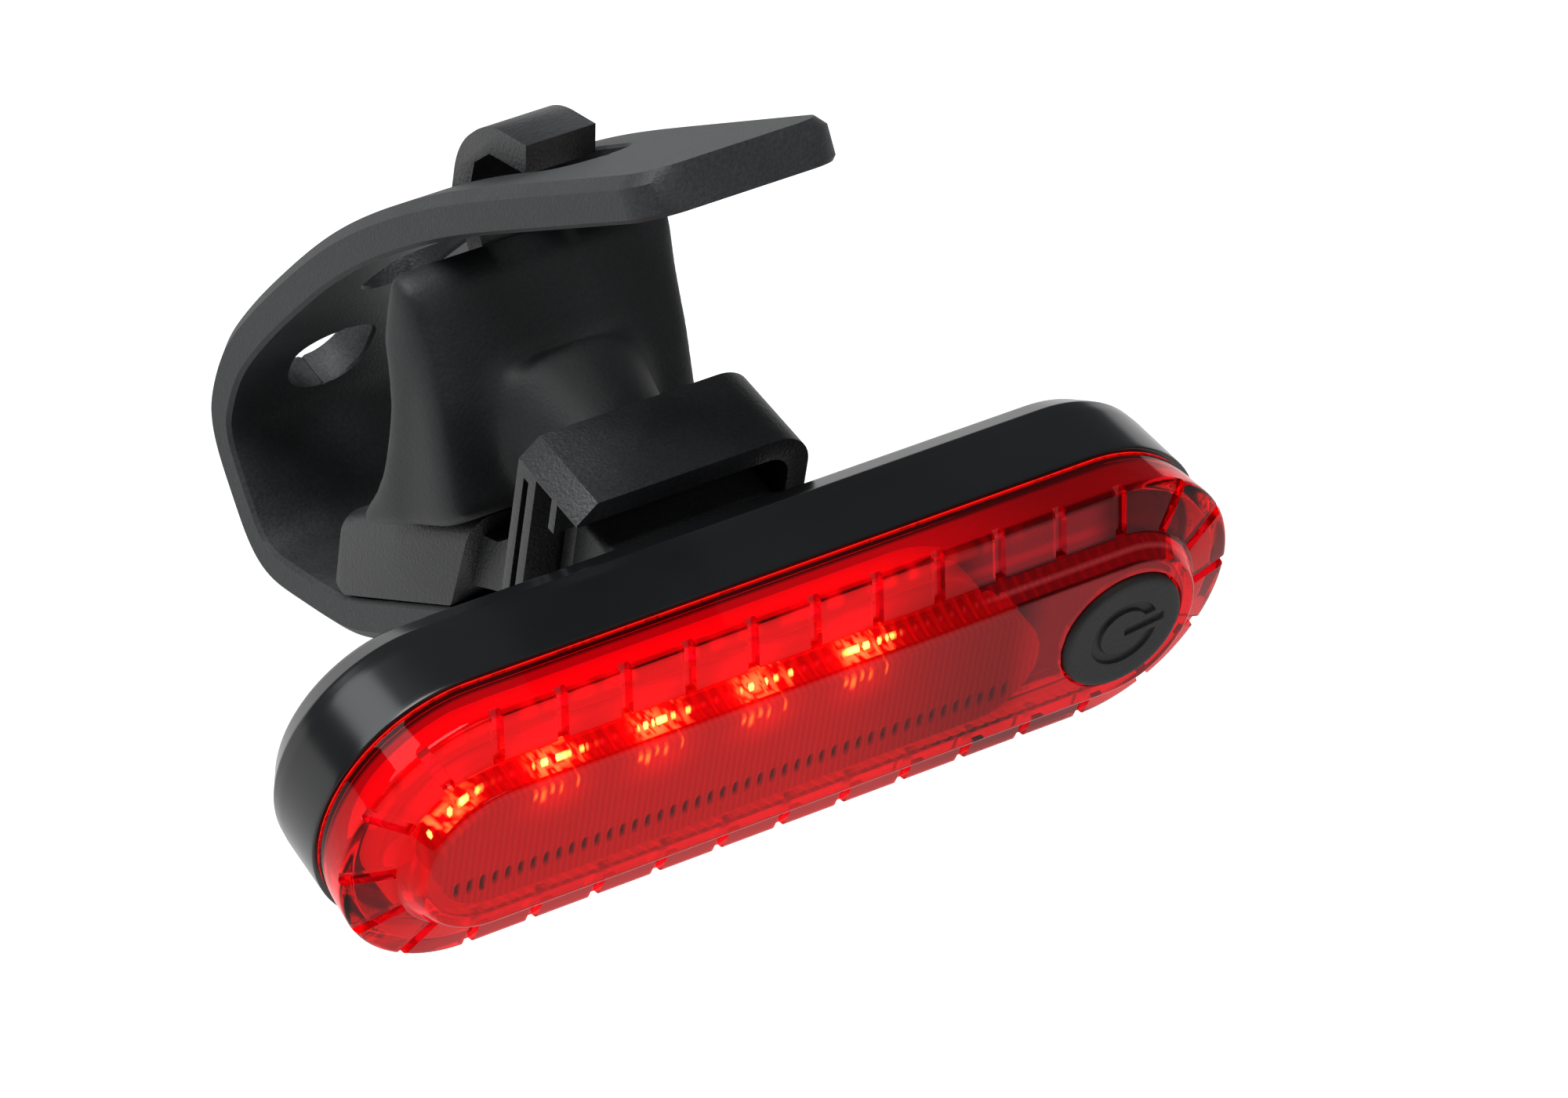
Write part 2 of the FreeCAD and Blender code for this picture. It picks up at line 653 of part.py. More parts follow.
# Push switch on the board, with a blind hole for its plunger
def switch():
    half = d.switch_side / 2
    front = d.board_face - d.switch_tall
    body = box("SwitchBody", (d.half_run - half, front, -half),
               (d.half_run + half, d.board_face, half))
    hole = rod_along_y("SwitchHole", d.plunger_r + d.fit_gap, front - 0.1,
                       front + d.plunger_seat + d.button_travel + 0.15, d.half_run, 0)
    keep("tact_switch", cut("TactSwitch", body, [hole]))
    plunger = rod_along_y("Plunger", d.plunger_r, post_end() + 0.05, front + d.plunger_seat,
                          d.half_run, 0)
    keep("switch_plunger", plunger)


def post_end():
    """Depth at which the post under the button ends."""
    return -face_front + d.lens_wall + 2.2


# Rubber button: a cup with a flange behind the lens and a post in its middle
def button_cap():
    body = new_body("Button")
    front = face_front + d.button_proud
    flange_back = ring_top - d.lens_wall - d.soft_gap - d.button_flange
    disc = add_circle(new_sketch(body, "XZ_Plane", flange_back), d.half_run, 0, d.button_r)
    cup = pad(body, disc, front - flange_back)
    dress(body, "PartDesign::Fillet", cup, d.button_round, lambda edge: level(edge, -front))
    flange = new_sketch(body, "XZ_Plane", flange_back)
    add_circle(flange, d.half_run, 0, d.button_flange_r)
    pad(body, flange, d.button_flange)
    inside = add_circle(new_sketch(body, "XZ_Plane", front - d.button_top), d.half_run, 0,
                        d.button_r - d.button_wall)
    hollow = body.newObject("PartDesign::Pocket", "ButtonHollow")
    hollow.Profile = inside
    bind(hollow, "Length", front - d.button_top - flange_back + 0.1)
    doc.recompute()
    post = add_circle(new_sketch(body, "XZ_Plane", -post_end()), d.half_run, 0, d.button_post_r)
    pad(body, post, front - d.button_top + post_end() + 0.1)
    keep("button_cap", body)


# Flat lithium cell, its foam pad against the back wall and its two tabs on the board
def battery():
    body = new_body("Cell")
    front = shell_inside - 0.4 - d.cell_thick
    outline = add_rectangle(new_sketch(body, "XZ_Plane", -shell_inside + 0.4), cell_left,
                            cell_left + d.cell_long, -d.cell_wide / 2, d.cell_wide / 2)
    block = pad(body, outline, d.cell_thick)
    dress(body, "PartDesign::Fillet", block, d.cell_round,
          lambda edge: edge.BoundBox.XLength > 5 or edge.BoundBox.ZLength > 5)
    keep("battery_cell", body)
    cell_right = cell_left + d.cell_long
    foam = box("Foam", (cell_left + 2, shell_inside - 0.4, 1 - d.cell_wide / 2),
               (cell_right - 2, shell_inside, d.cell_wide / 2 - 1))
    keep("battery_pad", foam)
    tabs = []
    for side in (-1, 1):
        low = d.tab_apart * (side / 2) - d.tab_wide / 2
        high = d.tab_apart * (side / 2) + d.tab_wide / 2
        upright = box("TabUp%d" % (side + 1), (cell_right, board_back, low),
                      (cell_right + d.tab_thick, front + d.cell_thick / 2, high))
        flat = box("TabFlat%d" % (side + 1), (cell_right, board_back, low),
                   (cell_right + d.tab_long, board_back + d.tab_thick, high))
        tabs.append(fuse("Tab%d" % (side + 1), [upright, flat]))
    keep("battery_tabs", group("BatteryTabs", tabs))


# Charging socket behind the lower wall, its tongue, and the rubber flap over it
def charging_port():
    left = d.socket_at - d.socket_wide / 2
    right = d.socket_at + d.socket_wide / 2
    mouth = -cavity_r + 0.2
    shell = box("SocketShell", (left, board_back, mouth),
                (right, board_back + d.socket_thick, mouth + d.socket_deep))
    space = box("SocketSpace",
                (left + d.socket_wall, board_back + d.socket_wall, mouth - 0.1),
                (right - d.socket_wall, board_back + d.socket_thick - d.socket_wall,
                 mouth + d.socket_deep - d.socket_wall))
    keep("charging_socket", cut("ChargingSocket", shell, [space]))
    inner = mouth + d.socket_deep - d.socket_wall
    tongue = box("Tongue",
                 (d.socket_at - d.tongue_wide / 2, port_middle - d.tongue_thick / 2,
                  inner - d.tongue_long),
                 (d.socket_at + d.tongue_wide / 2, port_middle + d.tongue_thick / 2, inner))
    keep("socket_tongue", tongue)
    half = d.flap_wide / 2
    plate = box("FlapPlate", (d.flap_left, port_middle - half, flap_outer),
                (d.flap_right, port_middle + half, flap_inner))
    knuckle = rod_along_y("FlapKnuckle", d.flap_thick / 2, port_middle - half, port_middle + half,
                          d.flap_left, flap_outer + d.flap_thick / 2)
    plug = box("FlapPlug",
               (d.socket_at - d.plug_wide / 2, port_middle - d.plug_thick / 2, flap_inner - 0.1),
               (d.socket_at + d.plug_wide / 2, port_middle + d.plug_thick / 2,
                flap_inner + d.plug_deep))
    keep("port_flap", fuse("PortFlap", [plate, knuckle, plug]))


# Routes of the strap in the Y-Z plane, as corners that arcs round off
# The root runs under the lower block, round the heel of the loop and up to the bend.
# The run goes on from the bend over the hook to the free tab.
ROOT_CORNERS = [(24.2, -12.8), (38.8, -24.2), (50.2, -28.3), (58.2, -20.8), (57.3, -13.4),
                (53.3, -6.8)]
ROOT_RADII = [12.0, 3.2, 4.5, 12.0]
RUN_CORNERS = [(53.3, -6.8), (45.2, 6.0), (33.9, 17.9), (10.64, 37.65)]
RUN_RADII = [60.0, 80.0]


def unit(a, b):
    length = math.hypot(b[0] - a[0], b[1] - a[1])
    return ((b[0] - a[0]) / length, (b[1] - a[1]) / length)


def along(a, direction, distance):
    return (a[0] + direction[0] * distance, a[1] + direction[1] * distance)


def rounded_line(corners, radii, shift):
    """Straight runs joined by tangent arcs, moved sideways by a shift to the left of the way."""
    legs = [unit(a, b) for a, b in zip(corners, corners[1:])]
    edges = []
    start = corners[0]
    for i, radius in enumerate(radii):
        here, into, out = corners[i + 1], legs[i], legs[i + 1]
        cross = into[0] * out[1] - into[1] * out[0]
        turn = math.acos(max(-1.0, min(1.0, into[0] * out[0] + into[1] * out[1])))
        trim = radius * math.tan(turn / 2)
        tangent_in = along(here, into, -trim)
        tangent_out = along(here, out, trim)
        side = 1 if cross > 0 else -1
        normal = (-into[1] * side, into[0] * side)
        centre = along(tangent_in, normal, radius)
        bisector = unit(centre, here)
        middle = along(centre, bisector, radius)
        edges.append(("line", [start, tangent_in], into, into))
        edges.append(("arc", [tangent_in, middle, tangent_out], into, out))
        start = tangent_out
    edges.append(("line", [start, corners[-1]], legs[-1], legs[-1]))
    moved = []
    for kind, points, first, last in edges:
        ways = [first, last]
        if kind == "arc":
            ways.insert(1, unit((-first[0], -first[1]), last))
        shifted = [along(p, (-w[1], w[0]), shift) for p, w in zip(points, ways)]
        moved.append((kind, shifted))
    return moved


def make_edges(pieces, across):
    edges = []
    for kind, points in pieces:
        vectors = [FreeCAD.Vector(across, y, z) for y, z in points]
        if kind == "line":
            edges.append(Part.makeLine(vectors[0], vectors[1]))
        else:
            edges.append(Part.Arc(vectors[0], vectors[1], vectors[2]).toShape())
    return edges


def band(corners, radii):
    """A flat rubber band of the strap's width and thickness along a route, bevelled outside."""
    half = d.strap_thick.number / 2
    wide = d.strap_half.number
    outer = rounded_line(corners, radii, -half)
    inner = rounded_line(corners, radii, half)
    edges = make_edges(outer, -wide) + make_edges(inner, -wide)
    for last, first in ((outer[-1][1][-1], inner[-1][1][-1]), (inner[0][1][0], outer[0][1][0])):
        edges.append(Part.makeLine(FreeCAD.Vector(-wide, *last), FreeCAD.Vector(-wide, *first)))
    face = Part.Face(Part.Wire(Part.__sortEdges__(edges)))
    solid = face.extrude(FreeCAD.Vector(2 * wide, 0, 0))
    rims = []
    for piece in make_edges(outer, -wide) + make_edges(outer, wide):
        middle = piece.valueAt((piece.FirstParameter + piece.LastParameter) / 2)
        rims += [edge for edge in solid.Edges if edge.BoundBox.XLength < 0.01
                 and edge.distToShape(Part.Vertex(middle))[0] < 1e-4]
    return solid.makeChamfer(d.strap_bevel.number, rims)


def place_along(corners, distance):
    """Point on the straight legs and the way there, measured from the last corner."""
    for a, b in reversed(list(zip(corners, corners[1:]))):
        length = math.hypot(b[0] - a[0], b[1] - a[1])
        if distance <= length:
            return along(b, unit(b, a), distance), unit(b, a)
        distance -= length
    raise RuntimeError("slot beyond the end of the strap")


def slot(corners, start, length):
    """Round-ended slot through the strap, its ends measured from the last corner of the route."""
    middle, way = place_along(corners, start + length / 2)
    half = d.slot_half.number
    tall = 12.0
    straight = length - 2 * half
    low = -tall / 2
    bar = Part.makeBox(2 * half, straight, tall, FreeCAD.Vector(-half, -straight / 2, low))
    ends = [Part.makeCylinder(half, tall, FreeCAD.Vector(0, side * straight / 2, low))
            for side in (-1, 1)]
    tool = bar.fuse(ends).removeSplitter()
    angle = math.degrees(math.atan2(way[1], way[0]))
    tool.rotate(FreeCAD.Vector(), FreeCAD.Vector(1, 0, 0), angle)
    tool.translate(FreeCAD.Vector(0, *middle))
    return tool


def cross_bar(point, radius, half):
    return Part.makeCylinder(radius, 2 * half, FreeCAD.Vector(-half, *point), FreeCAD.Vector(1, 0, 0))


# Strap: the run turns about the bend when it is taken off the hook, so it has a round end there
def strap():
    half = d.strap_thick.number / 2
    wide = d.strap_half.number
    bend = RUN_CORNERS[0]
    run = band(RUN_CORNERS, RUN_RADII)
    run = run.fuse(cross_bar(bend, half - 0.02, wide - d.strap_bevel.number)).removeSplitter()
    first = d.first_slot.number
    second = first + d.first_slot_long.number + d.slot_bridge.number
    run = run.cut(slot(RUN_CORNERS, first, d.first_slot_long.number))
    run = run.cut(slot(RUN_CORNERS, second, d.second_slot_long.number))
    feature("strap_run", run)
    root = band(ROOT_CORNERS, ROOT_RADII)
    root = root.cut(cross_bar(bend, half + d.soft_gap.number, wide + 1))
    root = root.cut(slot(ROOT_CORNERS, d.third_slot.number, d.third_slot_long.number))
    middle, way = stud_place()
    hole = Part.makeCylinder(d.stud_r.number + d.fit_gap.number, 8,
                             FreeCAD.Vector(0, *along(middle, (-way[1], way[0]), -4)),
                             FreeCAD.Vector(0, -way[1], way[0]))
    feature("strap_root", root.cut(hole))


def feature(name, shape):
    item = doc.addObject("Part::Feature", name.title().replace("_", ""))
    item.Shape = shape
    keep(name, item)


def stud_place():
    """Middle of the strap's first leg and the way along it."""
    first, second = ROOT_CORNERS[:2]
    return ((first[0] + second[0]) / 2, (first[1] + second[1]) / 2), unit(first, second)


# Outlines in the Y-Z plane, behind the parting line and above the middle
NECK = [(17.6, 1.6), (20.4, -0.9), (23.6, -4.4), (27.0, -6.0), (27.0, -11.2), (23.4, -8.8),
        (17.6, -5.4)]
BLOCK = [(25.0, -3.1), (38.6, -13.6), (41.0, -15.8), (40.9, -21.6), (39.3, -22.2), (26.1, -12.0)]
BLOCK_TOP = (25.0, -3.1)
HOOK = [(27.0, -8.0), (27.3, 1.8), (31.8, 9.4), (34.4, 12.2), (37.1, 15.6), (36.9, 18.6),
        (35.3, 20.6), (30.8, 22.2), (31.2, 24.5), (36.0, 22.9), (39.2, 18.6), (39.2, 14.6),
        (36.2, 10.9), (33.6, 8.2), (29.4, 1.2), (29.0, -9.5)]
HOOK_ROUNDED = [(36.0, 22.9), (39.2, 18.6)]
PAD = [(37.0, -12.3), (25.2, -3.2), (23.3, -1.0), (24.0, 0.2), (25.4, 3.2), (27.0, 6.6),
       (28.9, 9.6), (30.9, 12.6)]


def profile_body(name, outline, half):
    """An outline in the Y-Z plane, as wide on both sides of the middle."""
    body = new_body(name)
    add_polygon(new_sketch(body, "YZ_Plane", 0), outline)
    pad(body, body.Group[0], half * 2, both=True)
    return body


# Bracket: dock, neck, lower block and hook in one hard moulding, and the stud under its block
def dock_bracket():
    body = new_body("Dock")
    outline = add_rectangle(new_sketch(body, "XZ_Plane", -dock_back), d.dock_left, d.dock_right,
                            -d.dock_half, d.dock_half)
    solid = pad(body, outline, dock_back - d.dock_front)
    rounded = dress(body, "PartDesign::Fillet", solid, d.dock_round,
                    lambda edge: near(edge.BoundBox.XMin, d.dock_right) and edge.BoundBox.YLength > 1)
    dress(body, "PartDesign::Chamfer", rounded, d.dock_bevel,
          lambda edge: near(edge.BoundBox.XMax, d.dock_left) and edge.BoundBox.YLength > 1)
    tools = [
        opening("DockRim", d.dock_front - 1, lip_front, d.dock_half - d.dock_band),
        opening("DockWindow", d.dock_front - 1, lip_back + 0.1, d.rail_half + d.lip_gap),
        opening("DockCavity", lip_back, cavity_back, d.rail_head_half + d.slide_gap),
        opening("DockSlit", slit_front, slit_front + d.dock_slit, d.dock_slit_half),
    ]
    dock = cut("DockFrame", body, tools)
    neck = profile_body("Neck", NECK, d.neck_half)
    block = profile_body("Block", BLOCK, d.block_half)
    dress(block, "PartDesign::Fillet", block.Tip, d.block_side_round,
          lambda edge: edge.BoundBox.XLength < 0.01 and near(edge.BoundBox.ZMax, BLOCK_TOP[1])
          and edge.BoundBox.YLength > 5)
    dress(block, "PartDesign::Fillet", block.Tip, d.block_round,
          lambda edge: edge.BoundBox.XLength > 5 and edge.BoundBox.ZMin < -5)
    hook = profile_body("Hook", HOOK, d.hook_half)
    dress(hook, "PartDesign::Fillet", hook.Tip, d.hook_round,
          lambda edge: edge.BoundBox.XLength > 5 and any(
              level(edge, depth) and near(edge.BoundBox.ZMin, up) for depth, up in HOOK_ROUNDED))
    middle, way = stud_place()
    up = (-way[1], way[0])
    stud = doc.addObject("Part::Cylinder", "Stud")
    bind(stud, "Radius", d.stud_r)
    bind(stud, "Height", d.strap_thick + 1.8)
    head = doc.addObject("Part::Cylinder", "StudHead")
    bind(head, "Radius", d.stud_head_r)
    bind(head, "Height", d.stud_head)
    turn = FreeCAD.Rotation(FreeCAD.Vector(0, 0, 1), FreeCAD.Vector(0, *up))
    lowest = -d.strap_thick.number / 2 - 0.25 - d.stud_head.number
    stud.Placement = FreeCAD.Placement(FreeCAD.Vector(0, *along(middle, up, lowest + 0.5)), turn)
    head.Placement = FreeCAD.Placement(FreeCAD.Vector(0, *along(middle, up, lowest)), turn)
    keep("dock_bracket", fuse("DockBracket", [dock, neck, block, hook, stud, head]))


def opening(name, front, back, half):
    """Room cut into the dock: open at its left end, with rounded corners at its right end."""
    body = new_body(name)
    sketch = new_sketch(body, "XZ_Plane", -back)
    solid = pad(body, add_rectangle(sketch, dock_open, dock_inner, -half, half), back - front)
    dress(body, "PartDesign::Fillet", solid, d.dock_inner_round,
          lambda edge: near(edge.BoundBox.XMin, dock_inner) and edge.BoundBox.ZLength < 0.01)
    return body


# Pad: rubber wedge with a hollow back, a wider flange there, and a boss round the neck
def saddle_pad():
    flange_top = 31.3
    flange_body = profile_body("PadFlange", [(37.0, -12.3), (37.0, d.pad_top), (flange_top, d.pad_top),
                                             (30.4, 0.0), (29.9, -6.7)], d.pad_half)
    dress(flange_body, "PartDesign::Fillet", flange_body.Tip, d.pad_round,
          lambda edge: near(edge.BoundBox.ZMin, d.pad_top) and level(edge, flange_top))
    wedge_top = d.pad_top - 0.1
    wedge = profile_body("PadWedge", PAD + [(31.8, wedge_top), (37.0, wedge_top)],
                         d.pad_half - d.pad_step)
    dress(wedge, "PartDesign::Fillet", wedge.Tip, d.pad_body_round,
          lambda edge: edge.BoundBox.YMax < 31.9 and edge.BoundBox.ZMin > -0.5)
    bump = doc.addObject("Part::Cone", "Bump")
    bump.Placement = facing_back()
    bind(bump, "Radius1", d.bump_r)
    bind(bump, "Radius2", d.bump_foot_r)
    bind(bump, "Height", d.bump_end - dock_back)
    bind(bump, "Placement.Base.y", dock_back + 0.02)
    bind(bump, "Placement.Base.z", d.bump_up)
    wider = 20
    hollow = doc.addObject("Part::Cylinder", "PadHollow")
    hollow.Placement = FreeCAD.Placement(FreeCAD.Vector(-wider, 0, 0),
                                         FreeCAD.Rotation(FreeCAD.Vector(0, 1, 0), 90))
    bind(hollow, "Radius", d.pad_hollow_r)
    bind(hollow, "Height", 2 * wider)
    bind(hollow, "Placement.Base.y", d.pad_mid + d.pad_hollow_r)
    bind(hollow, "Placement.Base.z", -d.pad_hollow_drop)
    back = box("PadBack", (-wider, d.pad_back, -wider), (wider, d.pad_back + wider, wider))
    solid = fuse("PadSolid", [flange_body, wedge, bump])
    room = 0.05
    hook_room = profile_body("HookRoom", HOOK, d.hook_half + room)
    neck_room = profile_body("NeckRoom", NECK, d.neck_half + room)
    block_outline = [(25.0, -3.05), (38.6, -13.55), (41.0, -15.75), (40.9, -21.6), (26.1, -12.0)]
    block_room = profile_body("BlockRoom", block_outline, wider)
    rooms = [hook_room, neck_room, block_room]
    keep("saddle_pad", cut("SaddlePad", solid, [hollow, back] + rooms))


housing_shell()
lens_cover()
lens_seal()
optic_strip()
led_reflector()
circuit_board()
led_chips()
board_electronics()
board_screws()
switch()
button_cap()
battery()
charging_port()
strap()
dock_bracket()
saddle_pad()
doc.recompute()

for item in doc.Objects:
    if "Invalid" in item.State or "Error" in item.State:
        raise RuntimeError("%s failed: %s" % (item.Label, item.State))
os.makedirs("parts", exist_ok=True)
for name, item in sorted(NODES.items()):
    shape = item.Shape
    if shape.isNull() or not shape.isValid() or not shape.Solids:
        raise RuntimeError(name + " has no valid solid")
    shape.exportStep("parts/%s.step" % name)
    bounds = shape.BoundBox
    print("%-16s solids %d volume %8.1f  x %6.1f %6.1f  y %6.1f %6.1f  z %6.1f %6.1f" % (
        name, len(shape.Solids), shape.Volume, bounds.XMin, bounds.XMax,
        bounds.YMin, bounds.YMax, bounds.ZMin, bounds.ZMax))
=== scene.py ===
import bmesh
import bpy
import numpy as np
from mathutils import Matrix, Vector


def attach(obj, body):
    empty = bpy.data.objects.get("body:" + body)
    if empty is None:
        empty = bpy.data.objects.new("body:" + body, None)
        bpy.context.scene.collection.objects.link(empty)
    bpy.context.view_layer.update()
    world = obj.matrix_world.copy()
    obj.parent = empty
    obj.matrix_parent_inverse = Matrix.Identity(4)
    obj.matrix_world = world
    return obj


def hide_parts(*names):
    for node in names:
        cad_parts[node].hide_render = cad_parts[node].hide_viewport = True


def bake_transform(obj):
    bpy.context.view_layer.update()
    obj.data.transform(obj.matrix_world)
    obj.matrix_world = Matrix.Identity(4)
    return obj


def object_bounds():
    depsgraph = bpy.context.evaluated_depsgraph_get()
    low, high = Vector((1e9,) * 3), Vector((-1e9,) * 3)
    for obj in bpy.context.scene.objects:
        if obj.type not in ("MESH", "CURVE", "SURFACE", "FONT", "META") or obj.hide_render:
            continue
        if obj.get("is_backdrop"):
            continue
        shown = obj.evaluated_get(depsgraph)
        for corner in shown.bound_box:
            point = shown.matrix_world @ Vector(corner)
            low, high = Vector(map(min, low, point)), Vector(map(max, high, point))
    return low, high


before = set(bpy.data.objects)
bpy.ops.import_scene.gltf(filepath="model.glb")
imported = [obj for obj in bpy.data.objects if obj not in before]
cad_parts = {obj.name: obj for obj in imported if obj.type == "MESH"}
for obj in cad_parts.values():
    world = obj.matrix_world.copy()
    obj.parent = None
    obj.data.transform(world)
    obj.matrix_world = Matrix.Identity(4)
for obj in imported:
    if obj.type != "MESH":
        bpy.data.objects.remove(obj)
cad_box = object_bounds()
scene = bpy.context.scene

# Studio. The light stands before white, seen from its upper left by a long lens that is rolled by
# nine degrees. A large round source hangs over and behind it, one behind its left end, and two
# weak ones fill in from the left and the front. Mirrored white is weaker than white seen directly.
camera_data = bpy.data.cameras.new("studio_camera")
camera_data.sensor_width = 36.0
camera_data.lens = 195.68
camera_data.clip_start = 0.05
camera_data.clip_end = 20.0
camera = bpy.data.objects.new("studio_camera", camera_data)
camera_right = Vector((0.83360, -0.53980, 0.11713))
camera_down = Vector((-0.29643, -0.61611, -0.72975))
camera_way = Vector((0.46609, 0.57360, -0.67361))
camera_turn = Matrix((camera_right, -camera_down, -camera_way)).transposed().to_4x4()
camera.matrix_world = Matrix.Translation((-0.2657, -0.3726, 0.3959)) @ camera_turn
scene.collection.objects.link(camera)
scene.camera = camera
scene.view_settings.view_transform = "Standard"


def node(tree, kind, settings=None, **inputs):
    """One shader node. Inputs go by name, or by place as i0, i1; each is a value or a socket."""
    item = tree.nodes.new(kind)
    for key, value in (settings or {}).items():
        setattr(item, key, value)
    for key, value in inputs.items():
        socket = item.inputs[int(key[1:]) if key[1:].isdigit() else key.replace("_", " ")]
        if isinstance(value, bpy.types.NodeSocket):
            tree.links.new(value, socket)
        else:
            socket.default_value = value
    return item


def new_material(name, **sockets):
    """A material with one Principled shader whose sockets have the given plain values."""
    material = bpy.data.materials.new(name)
    material.use_nodes = True
    shader = material.node_tree.nodes["Principled BSDF"]
    for key, value in sockets.items():
        shader.inputs[key.replace("_", " ")].default_value = value
    return material, material.node_tree, shader


floor_half = 3.0
floor_height = cad_box[0][2] - 0.0002
floor_mesh = bpy.data.meshes.new("studio_floor")
floor_mesh.from_pydata([(-floor_half, -floor_half, floor_height), (floor_half, -floor_half, floor_height),
                        (floor_half, floor_half, floor_height), (-floor_half, floor_half, floor_height)],
                       [], [(0, 1, 2, 3)])
floor = bpy.data.objects.new("studio_floor", floor_mesh)
scene.collection.objects.link(floor)
floor_material, tree, shader = new_material("studio_white", Base_Color=(0.22, 0.22, 0.22, 1), Roughness=0.8,
                                             Emission_Color=(1, 1, 1, 1))
paths = node(tree, "ShaderNodeLightPath").outputs
mirrored_white = 0.65
seen = node(tree, "ShaderNodeMath", {"operation": "MULTIPLY_ADD"}, i0=paths["Is Glossy Ray"],
            i1=mirrored_white, i2=paths["Is Camera Ray"])
tree.links.new(seen.outputs[0], shader.inputs["Emission Strength"])
floor_mesh.materials.append(floor_material)
floor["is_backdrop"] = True

world = bpy.data.worlds.new("studio_air")
scene.world = world
world.use_nodes = True
world.node_tree.nodes["Background"].inputs["Color"].default_value = (0.94, 0.97, 1.0, 1)
world.node_tree.nodes["Background"].inputs["Strength"].default_value = 0.12


def softbox(name, place, size, power, tint):
    """A round area light that looks at the light's middle."""
    data = bpy.data.lights.new(name, "AREA")
    data.shape = "DISK"
    data.size = size
    data.energy = power
    data.color = tint
    lamp = bpy.data.objects.new(name, data)
    way = Vector(place) - Vector((0, -0.02, 0))
    lamp.matrix_world = Matrix.Translation(place) @ way.to_track_quat("Z", "Y").to_matrix().to_4x4()
    scene.collection.objects.link(lamp)


softbox("soft_key", (-0.30, 0.28, 1.25), 0.9, 17.0, (1.0, 0.99, 0.97))
softbox("soft_left", (-0.80, 0.78, 0.95), 0.9, 6.0, (0.95, 0.98, 1.0))
softbox("soft_flank", (-1.15, -0.05, 0.75), 0.6, 0.6, (0.95, 0.98, 1.0))
softbox("soft_front", (0.20, -1.00, 0.80), 0.6, 1.6, (1.0, 1.0, 1.0))

# Moulded finishes. Every part is moulded, so its colour, dust, grain and gloss come from one
# shared effect: fine grain from the mould, larger uneven gloss, and pale dust that settles on it.
skin = bpy.data.node_groups.new("moulded_skin", "ShaderNodeTree")
for label, kind, preset in (("Colour", "NodeSocketColor", (0.02, 0.02, 0.02, 1)),
                            ("Dust", "NodeSocketColor", (0.2, 0.2, 0.2, 1)),
                            ("Dust Amount", "NodeSocketFloat", 0.1),
                            ("Grain Scale", "NodeSocketFloat", 3000.0),
                            ("Grain Depth", "NodeSocketFloat", 0.00002),
                            ("Roughness", "NodeSocketFloat", 0.5),
                            ("Spread", "NodeSocketFloat", 0.1)):
    skin.interface.new_socket(label, in_out="INPUT", socket_type=kind).default_value = preset
for label, kind in (("Colour", "NodeSocketColor"), ("Roughness", "NodeSocketFloat"),
                    ("Normal", "NodeSocketVector")):
    skin.interface.new_socket(label, in_out="OUTPUT", socket_type=kind)
way_in = skin.nodes.new("NodeGroupInput")
place = node(skin, "ShaderNodeTexCoord").outputs["Object"]
grain = node(skin, "ShaderNodeTexNoise", Vector=place, Scale=way_in.outputs["Grain Scale"], Detail=3.0)
cloud = node(skin, "ShaderNodeTexNoise", Vector=place, Scale=140.0, Detail=2.0, Roughness=0.5)
specks = node(skin, "ShaderNodeTexNoise", Vector=place, Scale=3600.0, Detail=4.0, Roughness=0.6)
settled = node(skin, "ShaderNodeMath", {"operation": "MULTIPLY"}, i0=cloud.outputs["Fac"],
               i1=specks.outputs["Fac"])
thick = node(skin, "ShaderNodeMapRange", Value=settled.outputs[0], From_Min=0.14, From_Max=0.40)
amount = node(skin, "ShaderNodeMath", {"operation": "MULTIPLY"}, i0=thick.outputs[0],
              i1=way_in.outputs["Dust Amount"])
dusted = node(skin, "ShaderNodeMix", {"data_type": "RGBA"}, i0=amount.outputs[0], i6=way_in.outputs["Colour"],
              i7=way_in.outputs["Dust"])
uneven = node(skin, "ShaderNodeMath", {"operation": "MULTIPLY_ADD"}, i0=cloud.outputs["Fac"],
              i1=way_in.outputs["Spread"], i2=way_in.outputs["Roughness"])
bump = node(skin, "ShaderNodeBump", Strength=1.0, Distance=way_in.outputs["Grain Depth"],
            Height=grain.outputs["Fac"])
node(skin, "NodeGroupOutput", Colour=dusted.outputs[2], Roughness=uneven.outputs[0],
     Normal=bump.outputs["Normal"])


def moulded(name, colour, dust, amount, grain_mm, depth_mm, rough, spread, **sockets):
    """A moulded finish: grain_mm is the size of its grain, depth_mm how deep that is."""
    material, tree, shader = new_material(name, **sockets)
    effect = node(tree, "ShaderNodeGroup", {"node_tree": skin}, Colour=(*colour, 1), Dust=(*dust, 1),
                  Dust_Amount=amount, Grain_Scale=1000.0 / grain_mm, Grain_Depth=depth_mm / 1000.0,
                  Roughness=rough, Spread=spread)
    for output, socket in (("Colour", "Base Color"), ("Roughness", "Roughness"), ("Normal", "Normal")):
        tree.links.new(effect.outputs[output], shader.inputs[socket])
    return material


# Lens. One red acrylic moulding: a side wall that leans out a little, a sloping ring with 32
# grooves, a raised middle, and a hole for the button. Its skirt is pressed into the housing.
tube_to_light = 46.0
half_run = 25.0
hole_r = 5.05
groove_half = 0.45
groove_wall = 0.05
groove_floor = 0.5
groove_pitch = 5
face_front, face_back = -6.5, -5.85


